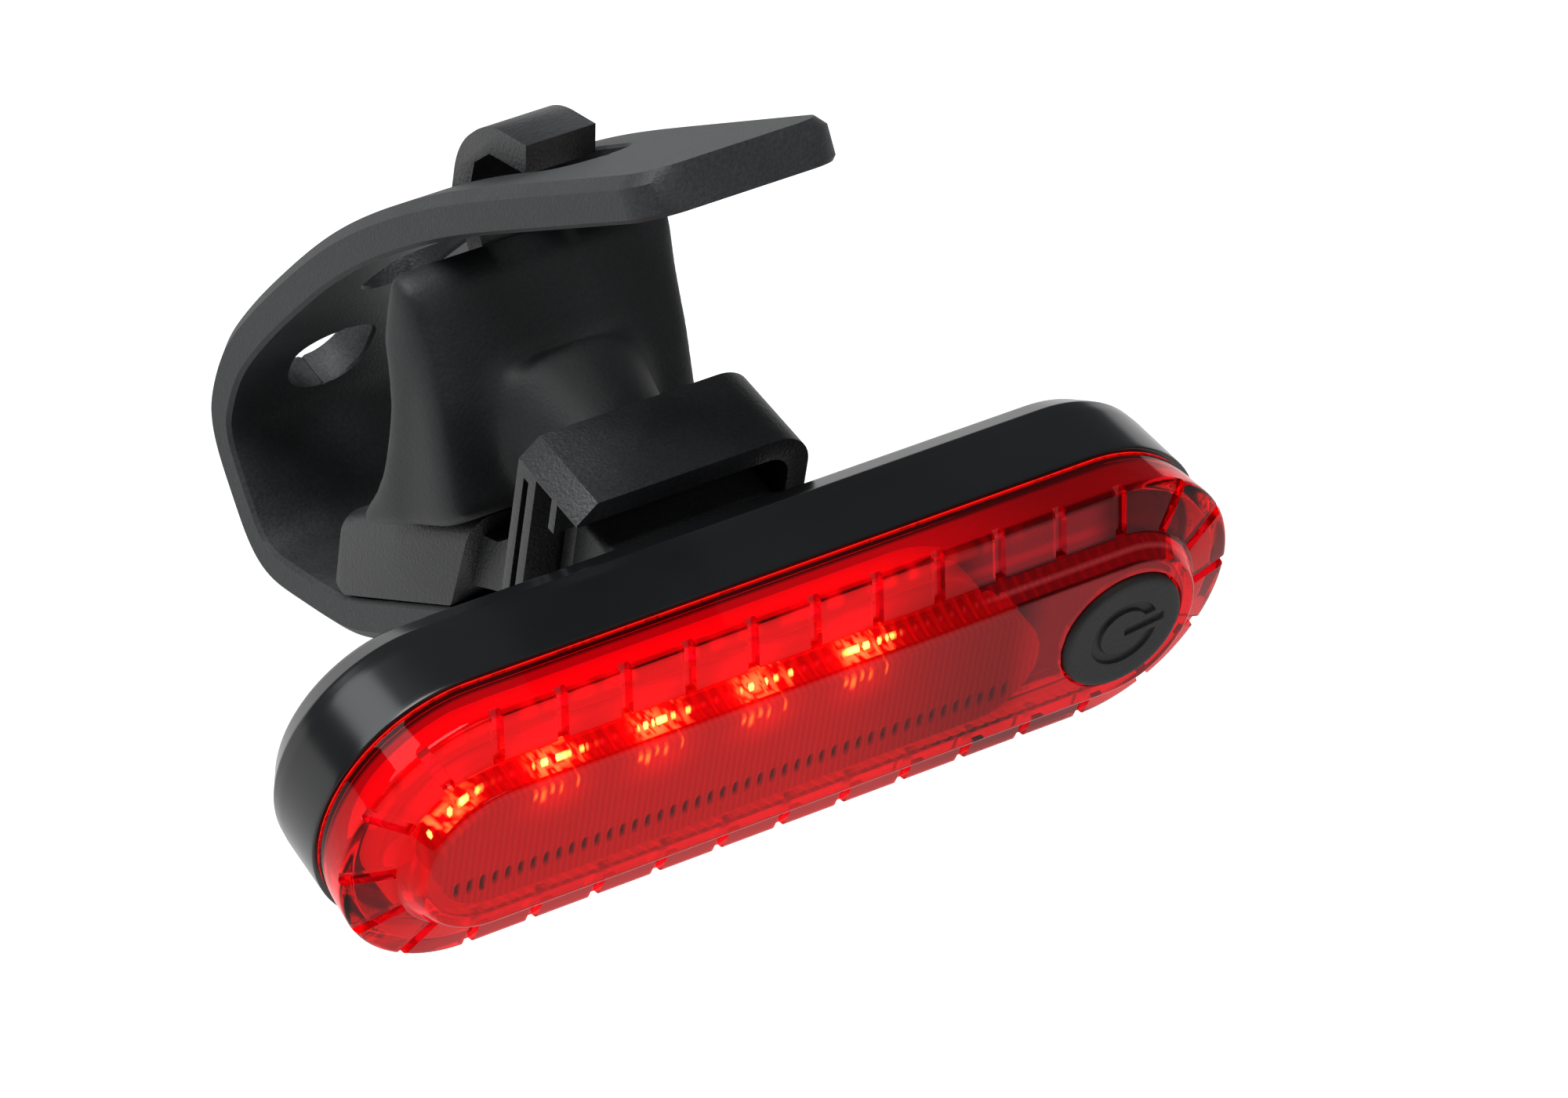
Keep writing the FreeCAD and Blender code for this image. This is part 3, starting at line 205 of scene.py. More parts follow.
def round_corners(corners, radii, spacing):
    """Points along a broken line: each corner is an arc tangent to both its legs, the rest straight."""
    corners = np.array(corners, float)
    legs = np.diff(corners, axis=0)
    lengths = np.hypot(*legs.T)
    legs /= lengths[:, None]
    out = [corners[:1]]
    for i, radius in enumerate(radii):
        here, into, away = corners[i + 1], legs[i], legs[i + 1]
        turn = np.arccos(np.clip(into @ away, -1, 1))
        trim = radius * np.tan(turn / 2)
        start, end = here - into * trim, here + away * trim
        if radius > 0 and turn > 1e-3:
            centre = start + (away - into * (into @ away)) / np.sin(turn) * radius
            steps = max(3, int(np.ceil(radius * turn / spacing)))
            t = np.linspace(0, 1, steps + 1)[:, None]
            arc = np.sin((1 - t) * turn) * (start - centre) + np.sin(t * turn) * (end - centre)
            out.append(centre + arc / np.sin(turn))
        else:
            out.append(here[None])
    out.append(corners[-1:])
    line = np.vstack(out)
    gaps = np.hypot(*np.diff(line, axis=0).T)
    counts = np.maximum(1, np.ceil(gaps / spacing).astype(int))
    filled = [np.linspace(a, b, n, endpoint=False) for a, b, n in zip(line[:-1], line[1:], counts) if n > 0]
    return np.vstack(filled + [line[-1:]])


def rim_track(xs, angles, shifts):
    """Once round a stadium, clockwise from the front: upper side, right end, lower side, left end.
    Gives each station's centre, direction in degrees and sideways shift."""
    level = np.zeros(len(xs))
    centre = np.concatenate([xs, np.full(len(angles), half_run), xs[::-1], np.full(len(angles), -half_run)])
    angle = np.concatenate([level + 90, angles, level - 90, angles - 180])
    shift = np.concatenate([level, shifts, level, shifts])
    return centre, angle, shift


def rim_points(track, radii, depths):
    """Stations carried along a profile: centre plus radius times direction, the direction turned by
    arcsine of shift over radius, so that a shifted station stays parallel to its neighbour."""
    centre, angle, shift = (item[:, None] for item in track)
    turned = np.radians(angle) - np.arcsin(shift / np.maximum(radii, 5.0))
    across = centre + radii * np.cos(turned)
    up = radii * np.sin(turned)
    return np.stack([across, depths + 0 * across, up], axis=-1)


def towards_middle(track, edge, fractions, depth, hole):
    """Flat face inside a stadium edge: straight lines from the edge to the centre line, or to the
    hole's circle where the station is beside the hole."""
    centre, angle = track[0], np.radians(track[1])
    beside = centre > half_run - hole
    at_end = np.abs(np.cos(angle)) > 1e-6
    level = np.sign(np.sin(angle)) * np.sqrt(np.clip(hole ** 2 - (centre - half_run) ** 2, 0, None))
    goal_x = np.where(at_end & (centre > 0), half_run + hole * np.cos(angle), centre)
    goal_z = np.where(at_end & (centre > 0), hole * np.sin(angle), np.where(beside & ~at_end, level, 0.0))
    goal = np.stack([goal_x, np.full_like(goal_x, depth), goal_z], axis=-1)
    t = np.array(fractions)[None, :, None]
    return edge[:, None, :] * (1 - t) + goal[:, None, :] * t


def grid_faces(rows, columns, ring=True):
    """Quads between neighbouring rows and columns of a grid, its rows closed into a ring or not."""
    first = np.arange(rows if ring else rows - 1)[:, None]
    second = (first + 1) % rows
    j = np.arange(columns - 1)[None, :]
    quads = [first * columns + j, second * columns + j, second * columns + j + 1, first * columns + j + 1]
    return np.stack(quads, axis=-1).reshape(-1, 4)


def add_piece(name, parts, material, crease=32.0, offset=(0, -tube_to_light, 0)):
    """A mesh object from grids of points in millimetres and their faces, doubles merged, turned outwards."""
    places, faces, count = [], [], 0
    for points, quads in parts:
        places.append(np.asarray(points, float).reshape(-1, 3))
        faces += (np.asarray(quads) + count).tolist()
        count += len(places[-1])
    mesh = bpy.data.meshes.new(name)
    mesh.from_pydata(((np.vstack(places) + np.array(offset)) / 1000.0).tolist(), [], faces)
    work = bmesh.new()
    work.from_mesh(mesh)
    bmesh.ops.remove_doubles(work, verts=work.verts, dist=2e-6)
    bmesh.ops.dissolve_degenerate(work, edges=work.edges, dist=1e-7)
    bmesh.ops.recalc_face_normals(work, faces=work.faces)
    work.to_mesh(mesh)
    work.free()
    mesh.polygons.foreach_set("use_smooth", np.ones(len(mesh.polygons), bool))
    mesh.set_sharp_from_angle(angle=np.radians(crease))
    mesh.materials.append(material)
    piece = bpy.data.objects.new(name, mesh)
    scene.collection.objects.link(piece)
    return piece


def settle(piece, body, slot, *nodes):
    """The piece rides on its body and stands for its CAD nodes, which are hidden. Its slot is not used."""
    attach(piece, body)
    if nodes:
        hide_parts(*nodes)


lens_profile = round_corners(
    [(5.5, face_front), (6.1, face_front), (7.15, -4.7), (10.8, -3.75), (10.73, -3.1), (10.5, -0.95),
     (10.43, -0.3), (10.42, -0.16), (10.4, 0.0), (9.0, 0.0), (9.0, 1.0), (8.3, 1.0), (8.3, 0.0),
     (9.4, -1.2), (9.5, -2.95), (6.35, -3.85), (5.5, face_back), (5.25, face_back)],
    [0.35, 0.25, 0.45, 0.0, 0.0, 0.0, 0.0, 0.06, 0.0, 0.0, 0.0, 0.0, 0.0, 0.15, 0.15, 0.15], 0.35)
steps_x = np.arange(-half_run, half_run + 1e-6, 1 / 6)
steps_x[np.abs(steps_x - (half_run - groove_pitch)) < 0.01] = half_run - hole_r
beside = steps_x - groove_pitch * np.round(steps_x / groove_pitch)
steps_x += np.sign(beside) * np.where(np.abs(np.abs(beside) - 0.5) < 0.01, groove_half - 0.5, 0.0)
steps_x += np.sign(beside) * np.where(np.abs(np.abs(beside) - 1 / 3) < 0.01,
                                      groove_half - groove_wall - 1 / 3, 0.0)
cell = np.concatenate([[0.0, 0.2, groove_half - groove_wall, groove_half], [0] * 8,
                       [-groove_half, groove_wall - groove_half, -0.2]])
cell_turn = np.concatenate([np.zeros(4), np.linspace(6, 24, 8), np.full(3, 30)])
end_angles = np.concatenate([90 - 30 * k - cell_turn for k in range(6)])[1:]
end_shifts = np.tile(cell, 6)[1:]
lens_track = rim_track(steps_x, end_angles, end_shifts)
lens_rim = rim_points(lens_track, lens_profile[:, 0][None, :], lens_profile[:, 1][None, :])
beside_groove = np.where(np.abs(np.sin(np.radians(lens_track[1]))) > 1 - 1e-9,
                         np.abs(lens_track[0] - groove_pitch * np.round(lens_track[0] / groove_pitch)), 9.0)
on_arc = np.concatenate([np.zeros(len(steps_x), bool), np.ones(len(end_angles), bool)] * 2)
in_cell = np.tile(np.concatenate([np.ones(4, bool), np.zeros(8, bool), np.ones(3, bool)]), 6)[1:]
in_cell = np.concatenate([np.zeros(len(steps_x), bool), in_cell] * 2)
beside_groove = np.where(on_arc, np.where(in_cell, np.abs(lens_track[2]), 9.0), beside_groove)
cut_in = np.clip((groove_half - beside_groove) / groove_wall, 0, 1)[:, None]
outside = (np.arange(len(lens_profile)) < np.argmax(lens_profile[:, 1] > -0.05))[None, :]
radius = lens_profile[:, 0][None, :]
ring_line = -4.7 + (radius - 7.15) * 0.95 / 3.65
floor_line = ring_line + groove_floor * cut_in
grooved = outside & (radius > 7.2) & (cut_in > 0)
lens_rim[..., 1] = np.where(grooved, np.maximum(lens_rim[..., 1], floor_line), lens_rim[..., 1])
inner_slope = (~outside & (lens_profile[:, 1] < -4.0) & (lens_profile[:, 1] > -5.75))
flute = 0.12 * (0.5 + 0.5 * np.cos(2 * np.pi * lens_track[0]))[:, None] * inner_slope * (~on_arc)[:, None]
lens_rim[..., 2] -= flute * np.sign(lens_rim[..., 2])
front_face = towards_middle(lens_track, lens_rim[:, 0], [0.25, 1.0], face_front, hole_r)
back_face = towards_middle(lens_track, lens_rim[:, -1], [0.25, 1.0], face_back, hole_r)
lens_grid = np.concatenate([front_face[:, ::-1], lens_rim, back_face], axis=1)
rows, columns = lens_grid.shape[:2]
lens_faces = grid_faces(rows, columns)
at_hole = (lens_track[0] > half_run - hole_r - 1e-6)
wall = np.flatnonzero(at_hole & np.roll(at_hole, -1))
wall_next = (wall + 1) % rows
hole_faces = np.stack([wall * columns, wall * columns + columns - 1, wall_next * columns + columns - 1,
                       wall_next * columns], axis=-1)


def ramp(value, low, high):
    """Smooth step from 0 at low to 1 at high."""
    t = np.clip((value - low) / (high - low), 0, 1)
    return t * t * (3 - 2 * t)


def light_frame(mesh):
    """Vertex places in millimetres, measured from the parting line, and distances from the middle line."""
    co = np.empty(len(mesh.vertices) * 3)
    mesh.vertices.foreach_get("co", co)
    x, y, z = (co.reshape(-1, 3) * 1000 + np.array([0, tube_to_light, 0])).T
    return x, y, z, np.hypot(x - np.clip(x, -half_run, half_run), z)


def paint_glow(mesh, layers):
    """Light at each vertex: layers of mask and colour are added up in the attribute named glow."""
    total = np.zeros((len(mesh.vertices), 4))
    for mask, colour in layers:
        total[:, :3] += np.asarray(mask, float)[:, None] * np.array(colour)
    total[:, 3] = 1.0
    attribute = mesh.attributes.new("glow", "FLOAT_COLOR", "POINT")
    attribute.data.foreach_set("color", total.astype(np.float32).ravel())


# The LEDs' light in the lens is painted as emission in the glow attribute. It is red over the side wall, ring
# and slope, brighter on the left near the LEDs and fading to the right, and stronger again near the button.
# The upper slope gets painted yellow sparks, streaks and red halos where the LEDs show through, and a painted
# bright red line runs along the back edge of the side wall.
spark_at = [-29.9, -21.7, -13.5, -5.3, 2.9]
red_lens, tree, shader = new_material(
    "red_acrylic", Roughness=0.015, IOR=1.22, Transmission_Weight=0.95, Emission_Strength=1.0)
place = node(tree, "ShaderNodeTexCoord").outputs["Object"]
cloud = node(tree, "ShaderNodeTexNoise", Vector=place, Scale=160.0, Detail=2.0)
body_tint = node(tree, "ShaderNodeMix", {"data_type": "RGBA"}, i0=cloud.outputs["Fac"],
                 i6=(0.72, 0.004, 0.010, 1), i7=(0.66, 0.003, 0.008, 1))
tree.links.new(body_tint.outputs[2], shader.inputs["Base Color"])
shine = node(tree, "ShaderNodeAttribute", {"attribute_name": "glow"})
tree.links.new(shine.outputs["Color"], shader.inputs["Emission Color"])
lens_shell = add_piece("lens_shell", [(lens_grid, lens_faces), (lens_grid, hole_faces)], red_lens)
x, y, z, r = light_frame(lens_shell.data)
left_lit = ramp(x, 22.0, 6.0)
side = (r > 9.9) & (y > -3.5)
ring = (r > 7.3) & (r < 10.3) & (y < -3.4)
slope = (r > 5.3) & (r < 6.75) & (y < -3.9) & (y > -5.8)
slope_share = (-3.85 - y) / 2.0
lines = np.clip(1 - np.abs(np.abs(x - np.round(x)) - 0.5) / 0.2, 0, 1)
sparks, streaks, halo = np.zeros_like(x), np.zeros_like(x), np.zeros_like(x)
draw = np.random.default_rng(11)
flicker_columns, flicker_levels = 400, 7
flicker = draw.random((flicker_columns, flicker_levels))
column = np.clip(((x + 40) / 0.2).astype(int), 0, flicker_columns - 1)
level = np.clip((slope_share * flicker_levels).astype(int), 0, flicker_levels - 1)
broken = flicker[column, level] > 0.42
for spot in spark_at:
    sparks += np.exp(-((x - spot - 0.1) / 1.15) ** 4) * np.exp(-((slope_share - 0.58) / 0.46) ** 4) * broken
    sparks += 0.5 * np.exp(-((x - spot - 1.9) / 0.9) ** 2) * (flicker[column, level] > 0.8)
    halo += np.exp(-((x - spot - 0.6) / 2.6) ** 2)
    for far in (1.6, 2.7):
        streaks += (np.abs(x - spot - far) < 0.15) * np.exp(-((slope_share - 0.68) / 0.25) ** 2)
upper = (z > 3.5)
face = (y < -6.4) & (r < 5.9)
patch = np.interp(x, np.arange(-40, 40, 0.55), draw.random(146) ** 2)
# A band on the inner wall where the painted glow comes in random patches.
glow_band = (r > 8.9) & (r < 9.55) & (y < -2.8) & (y > -3.6) & upper
paint_glow(lens_shell.data, [
    (side & (y > -0.13), (0.80, 0.02, 0.01)),
    (side * ramp(y, -0.9, -1.2) * (0.35 + 0.65 * left_lit), (0.40, 0.0, 0.002)),
    (ring * (0.25 + 0.75 * left_lit), (0.06, 0.001, 0.002)),
    (ring * upper * ramp(x, 11.0, 15.0) * ramp(x, 25.0, 22.0), (0.14, 0.006, 0.009)),
    (slope * upper * ramp(x, 12.0, 16.0), (0.10, 0.018, 0.020)),
    (glow_band * patch * left_lit, (0.9, 0.0, 0.02)),
    (slope * lines * (0.25 + 0.75 * left_lit), (0.30, 0.004, 0.008)),
    (face * ramp(x, 15.0, 18.5), (0.15, 0.004, 0.006)),
    (slope * upper * halo, (0.55, 0.0, 0.004)),
    (ring * upper * halo * (r < 8.9), (0.16, 0.0, 0.002)),
    (slope * upper * sparks, (9.0, 4.6, 0.7)),
    (slope * upper * streaks, (5.0, 2.6, 0.4))])
settle(lens_shell, "light", "lens_cover", "lens_cover")

# Optic strip. A clear acrylic bar with fine ribs across its front, which spreads the light of the LEDs
# over the raised face. It stands on the reflector tray and is lit from below, and here that light is painted
# on it as emission.
strip_r, strip_left, strip_right = 4.6, -25.0, 13.9
strip_foot, strip_front, rib_pitch, rib_deep = -2.8, -5.7, 1.0, 0.10
dash_line, dash_first, dash_last, dash_deep = -2.4, -28.2, 16.4, 0.35
strip_x = np.arange(strip_left - strip_r, strip_right + strip_r + 1e-6, rib_pitch / 10)
past = np.maximum(np.maximum(strip_left - strip_x, strip_x - strip_right), 0)
strip_half = np.sqrt(np.clip(strip_r ** 2 - past ** 2, 0, None))
strip_half[[0, -1]] = 0.0
inset = np.minimum(0.2, strip_half / 2)
z_share = np.linspace(-1, 1, 41)
front_z = (strip_half - inset)[:, None] * z_share[None, :]
in_pitch = strip_x / rib_pitch - np.round(strip_x / rib_pitch)
ridge = np.clip(1 - np.abs(np.abs(in_pitch) - 0.25) / 0.1, 0, 1)[:, None]
dash = ((np.abs(front_z - dash_line) < 0.6) & (np.abs(in_pitch) < 0.22)[:, None]
        & (strip_x < dash_last)[:, None] & (strip_x > dash_first)[:, None])
front_y = strip_front - rib_deep * ridge + dash_deep * dash
side = np.stack([-strip_half, -strip_half], axis=1)
side_y = np.stack([np.full_like(strip_x, strip_foot), np.full_like(strip_x, strip_front + 0.25)], axis=1)
section_z = np.concatenate([side, front_z, -side[:, ::-1]], axis=1)
section_y = np.concatenate([side_y, front_y, side_y[:, ::-1]], axis=1)
strip_grid = np.stack([np.broadcast_to(strip_x[:, None], section_z.shape), section_y, section_z], axis=-1)
strip_grid = np.concatenate([strip_grid, strip_grid[:, :1]], axis=1)

glowing, tree, shader = new_material(
    "lit_strip", Roughness=0.30, IOR=1.49, Emission_Strength=1.0, Specular_IOR_Level=0.08)
place = node(tree, "ShaderNodeTexCoord").outputs["Object"]
cloud = node(tree, "ShaderNodeTexNoise", Vector=place, Scale=700.0, Detail=2.0)
clear = node(tree, "ShaderNodeMix", {"data_type": "RGBA"}, i0=cloud.outputs["Fac"],
             i6=(0.15, 0.006, 0.009, 1), i7=(0.19, 0.008, 0.012, 1))
tree.links.new(clear.outputs[2], shader.inputs["Base Color"])
shine = node(tree, "ShaderNodeAttribute", {"attribute_name": "glow"})
tree.links.new(shine.outputs["Color"], shader.inputs["Emission Color"])


def wave(tree, value, first, pitch, half, soft):
    """Mask that is 1 within half of every pitch-th place from first and 0 beyond half plus soft."""
    from_first = node(tree, "ShaderNodeMath", {"operation": "SUBTRACT"}, i0=value, i1=first - pitch / 2)
    folded = node(tree, "ShaderNodeMath", {"operation": "WRAP"}, i0=from_first.outputs[0], i1=pitch, i2=0.0)
    middle = node(tree, "ShaderNodeMath", {"operation": "SUBTRACT"}, i0=folded.outputs[0], i1=pitch / 2)
    away = node(tree, "ShaderNodeMath", {"operation": "ABSOLUTE"}, i0=middle.outputs[0])
    return node(tree, "ShaderNodeMapRange", {"interpolation_type": "SMOOTHSTEP"}, Value=away.outputs[0],
                From_Min=half, From_Max=half + soft, To_Min=1.0, To_Max=0.0).outputs[0]


def product(tree, first, second):
    """Output socket with the product of two sockets."""
    return node(tree, "ShaderNodeMath", {"operation": "MULTIPLY"}, i0=first, i1=second).outputs[0]


optic = add_piece("ribbed_strip", [(strip_grid, grid_faces(*strip_grid.shape[:2], ring=False))], glowing)
x, y, z, r = light_frame(optic.data)
in_pitch = np.abs(x - np.round(x))
ridge = np.clip(1 - np.abs(in_pitch - 0.25) / 0.08, 0, 1)
dashed = ((np.abs(z - dash_line) < 0.62) & (in_pitch < 0.22) & (x < dash_last) & (x > dash_first)
          & (y < -5.0))
left_lit = ramp(x, 16.0, -2.0)
dots, halo = np.zeros_like(x), np.zeros_like(x)
for spot in spark_at[1:]:
    halo += np.exp(-((x - spot - 0.8) / 2.4) ** 2) * np.exp(-((z - 3.6) / 1.6) ** 2)
    for far, wide, low, tall in ((-0.9, 0.14, 4.1, 0.3), (-0.3, 0.18, 3.9, 0.5), (0.4, 0.12, 4.2, 0.3),
                                 (1.1, 0.10, 4.0, 0.4), (2.4, 0.08, 4.1, 0.4)):
        dots += np.exp(-((x - spot - far) / wide) ** 4 - ((z - low) / tall) ** 4)
# The LEDs' light in the strip is painted as emission. It is red and brighter on the left, with painted
# highlights on the rib crests, painted red halos and very bright painted dots near the top beside each LED.
# The dashes are left out of the painted light, so they stay dark.
paint_glow(optic.data, [
    (~dashed * (0.30 + 0.60 * left_lit), (0.62, 0.008, 0.014)),
    (~dashed * ridge * (0.45 + 0.40 * left_lit), (0.60, 0.42, 0.28)),
    (halo * left_lit, (0.55, 0.0, 0.005)),
    (dots, (7.0, 70.0, 3.0))])
settle(optic, "light", "optic_strip", "optic_strip")

# Housing. The black rear half, moulded in polished ABS, with a ledge for the seal, an opening for
# the charging socket in its lower wall, and the T-shaped rail that slides into the dock.
shell_back, shell_inside = 8.05, 6.65
port_x = (6.4, 20.5)
port_y = (0.6, 4.5)
mouth_x = (10.2, 17.9)
mouth_y = (1.75, 3.45)
port_floor = -9.45
line_x = np.unique(np.round(np.concatenate(
    [np.linspace(-half_run, half_run, 51), port_x, np.array(port_x) + (0.03, -0.03), mouth_x]), 3))
line_angles = np.linspace(90, -90, 49)[1:-1]
housing_track = rim_track(line_x, line_angles, 0 * line_angles)
side_levels = np.array([0.58, 0.63, 1.75, 2.6, 3.45, 4.47, 4.52])
outer_side = np.array([(10.75 - 0.45 * y / shell_back, y) for y in side_levels])[::-1]
back_round = round_corners([(7.4, shell_back), (8.9, shell_back), (10.34, 5.85), (10.47, 4.9)],
                           [1.2, 0.5], 0.25)
front_rim = round_corners([(10.72, 0.4), (10.75, 0.0), (9.1, 0.0), (9.1, 1.65), (8.3, 1.65), (8.3, 1.75)],
                          [0.12, 0, 0, 0], 0.8)
inner_side = np.array([(8.3, 2.6), (8.3, 3.45), (8.3, 4.5), (8.3, 5.6)])
inner_back = round_corners([(8.3, 6.0), (8.3, shell_inside), (7.4, shell_inside)], [0.3], 0.4)
housing_profile = np.vstack([back_round, outer_side, front_rim, inner_side, inner_back])
housing_rim = rim_points(housing_track, housing_profile[:, 0][None, :], housing_profile[:, 1][None, :])
lower = (np.sin(np.radians(housing_track[1])) < -0.999)[:, None]
depth = housing_profile[:, 1][None, :]
is_outer = (np.arange(len(housing_profile)) < len(back_round) + len(outer_side))[None, :]
in_port = (lower & is_outer & (housing_track[0][:, None] > port_x[0] + 0.01)
           & (housing_track[0][:, None] < port_x[1] - 0.01) & (depth > port_y[0]) & (depth < port_y[1]))
housing_rim[..., 2] = np.where(in_port, port_floor, housing_rim[..., 2])
middle_back = towards_middle(housing_track, housing_rim[:, 0], [0.5, 1.0], shell_back, 0.0)
middle_front = towards_middle(housing_track, housing_rim[:, -1], [0.5, 1.0], shell_inside, 0.0)
housing_grid = np.concatenate([middle_back[:, ::-1], housing_rim, middle_front], axis=1)
rows, columns = housing_grid.shape[:2]
cells = grid_faces(rows, columns).reshape(rows, columns - 1, 4)
profile_depth = np.concatenate([[99, 99], housing_profile[:, 1], [99, 99]])
lower_row = lower[:, 0] & np.roll(lower[:, 0], -1)
row_x = (housing_track[0] + np.roll(housing_track[0], -1)) / 2
cell_y = (profile_depth[:-1] + profile_depth[1:]) / 2
open_row = lower_row & (row_x > mouth_x[0]) & (row_x < mouth_x[1])
open_column = (cell_y > mouth_y[0]) & (cell_y < mouth_y[1])
hidden = open_row[:, None] & open_column[None, :]
housing_faces = cells[~hidden]
edge_rows = np.flatnonzero(open_row)
near_columns = np.flatnonzero(open_column)
outer_columns = near_columns[near_columns < len(back_round) + len(outer_side)]
inner_columns = near_columns[near_columns > len(back_round) + len(outer_side)]
mouth_faces = []
for row in (edge_rows[0], edge_rows[-1] + 1):
    outer_ends = (row * columns + outer_columns[0], row * columns + outer_columns[-1] + 1)
    inner_ends = (row * columns + inner_columns[-1] + 1, row * columns + inner_columns[0])
    mouth_faces.append((outer_ends[0], outer_ends[1], inner_ends[1], inner_ends[0]))
for outer_column, inner_column in ((outer_columns[0], inner_columns[-1] + 1),
                                   (outer_columns[-1] + 1, inner_columns[0])):
    for row in edge_rows:
        mouth_faces.append((row * columns + outer_column, (row + 1) * columns + outer_column,
                            (row + 1) * columns + inner_column, row * columns + inner_column))


def extruded_bar(outline, start, end, edge, order=(2, 1, 0)):
    """A prism: a closed outline carried from start to end and drawn in by the edge's width at both.
    The order tells which of outline across, outline up and way along is X, Y and Z."""
    outline = np.array(outline, float)
    middle = (outline.max(0) + outline.min(0)) / 2
    half = (outline.max(0) - outline.min(0)) / 2
    shrink = 1 - edge / half
    stations = [(start, shrink), (start + edge * 0.3, 1 - 0.3 * edge / half), (start + edge, np.ones(2)),
                (end - edge, np.ones(2)), (end - edge * 0.3, 1 - 0.3 * edge / half), (end, shrink)]
    rings = []
    for across, scale in stations:
        ring = middle + (outline - middle) * scale
        rings.append(np.column_stack([ring, np.full(len(ring), across)])[:, order])
    points = np.stack(rings)
    count = len(outline)
    k = np.arange(count)
    walls = [np.stack([r * count + k, r * count + (k + 1) % count, (r + 1) * count + (k + 1) % count,
                       (r + 1) * count + k], axis=-1) for r in range(len(stations) - 1)]
    caps = [k.tolist(), ((len(stations) - 1) * count + k).tolist()]
    return points.reshape(-1, 3), np.vstack(walls).tolist(), caps


def rounded_rectangle(low, high, right_radius, left_radius=None, spacing=50.0):
    """Closed outline of a rectangle with round corners, without its last point."""
    (a, b), (c, e) = low, high
    middle = (a + c) / 2
    radii = [right_radius] * 2 + [left_radius or right_radius] * 2
    line = round_corners([(middle, b), (c, b), (c, e), (a, e), (a, b), (middle, b)], radii, spacing)
    return line[:-1]


def add_bars(name, bars, parts, material, crease=32.0):
    """One piece from grids and extruded bars, whose end faces are many-sided."""
    meshes = list(parts)
    for points, walls, caps in bars:
        meshes.append((points, walls))
        meshes += [(points, [cap]) for cap in caps]
    return add_piece(name, meshes, material, crease)


gloss_black, tree, shader = new_material(
    "gloss_black_abs", Roughness=0.2, IOR=1.50, Specular_IOR_Level=0.5)
place = node(tree, "ShaderNodeTexCoord").outputs["Object"]
cloud = node(tree, "ShaderNodeTexNoise", Vector=place, Scale=90.0, Detail=3.0)
smear = node(tree, "ShaderNodeMapRange", Value=cloud.outputs["Fac"], From_Min=0.3, From_Max=0.7, To_Min=0.16,
             To_Max=0.24)
tree.links.new(smear.outputs[0], shader.inputs["Roughness"])
black = node(tree, "ShaderNodeMix", {"data_type": "RGBA"}, i0=cloud.outputs["Fac"],
             i6=(0.006, 0.007, 0.008, 1), i7=(0.011, 0.011, 0.012, 1))
tree.links.new(black.outputs[2], shader.inputs["Base Color"])
housing = add_piece("polished_housing", [(housing_grid, housing_faces), (housing_grid, mouth_faces)],
                    gloss_black)
settle(housing, "light", "housing_shell", "housing_shell")

# Rail. The part of the same moulding that slides into the dock: a foot, a narrower web and the
# head behind the dock's lips. The tool was left unpolished here, so it is satin and grained.
rail_satin = moulded("rail_satin_abs", (0.012, 0.0125, 0.0135), (0.10, 0.105, 0.11), 0.22,
                     0.20, 0.05, 0.40, 0.12)
rail_left, foot_right, web_right = -6.8, 8.2, 7.5
rail_steps = []
for half, right, front, back in ((6.2, foot_right, 7.6, 10.5), (5.8, web_right, 10.2, 14.6),
                                 (8.6, web_right, 14.3, 15.9)):
    outline = rounded_rectangle((rail_left, -half), (right, half), 1.8, 0.5, 0.4)
    rail_steps.append(extruded_bar(outline, front, back, 0.28, (0, 2, 1)))
slide_rail = add_bars("slide_rail", rail_steps, [], rail_satin)
settle(slide_rail, "light", "housing_shell", "housing_shell")

# Button. A round cap of black silicone rubber, with the power mark pressed into its top, pushed
# into the lens from behind and kept by its flange. Its post bears on the switch.
button_face, button_r, button_back = -6.9, 4.85, -2.3
flat_steps, flange_r, flange_front, post_r, post_end = 66, 6.0, -3.1, 1.5, -3.0
cap_r = np.concatenate([np.linspace(0, 3.9, flat_steps), [4.2, 4.5, 4.65, 4.78, button_r, button_r, button_r],
                        [flange_r, flange_r, 3.75, 3.75, post_r, post_r, 0.0]])
cap_y = np.concatenate([np.full(flat_steps, button_face), [button_face, -6.88, -6.82, -6.68, -6.45, -4.6],
                        [flange_front, flange_front, button_back, button_back, -5.6, -5.6],
                        [post_end, post_end]])
cap_a = np.linspace(0, 2 * np.pi, 193)[:-1]
across = cap_r[None, :] * np.cos(cap_a)[:, None]
up = cap_r[None, :] * np.sin(cap_a)[:, None]
mark_turn = np.radians(8.0)
along_mark = across * np.cos(mark_turn) + up * np.sin(mark_turn)
beside_mark = up * np.cos(mark_turn) - across * np.sin(mark_turn)
on_top = (np.arange(len(cap_r)) < flat_steps)[None, :]
soft = 0.10
ring_in = np.clip((0.42 - np.abs(cap_r[None, :] - 2.35)) / soft, 0, 1)
gap_in = np.clip((np.abs(beside_mark) - 0.85) / soft, 0, 1)
ring_in = ring_in * np.where(along_mark > 0, gap_in, 1.0)
bar_in = (np.clip((0.36 - np.abs(beside_mark)) / soft, 0, 1)
          * np.clip((1.65 - np.abs(along_mark - 1.65)) / soft, 0, 1))
mark_deep = 0.22
pressed = np.maximum(ring_in, bar_in) * on_top * mark_deep
button_grid = np.stack([half_run + across, cap_y[None, :] + pressed, up], axis=-1)
button_rubber = moulded("button_silicone", (0.005, 0.005, 0.0055), (0.03, 0.03, 0.03), 0.5,
                        0.16, 0.03, 0.55, 0.15)
button = add_piece("power_button", [(button_grid, grid_faces(*button_grid.shape[:2]))], button_rubber)
settle(button, "button", "button_cap", "button_cap")

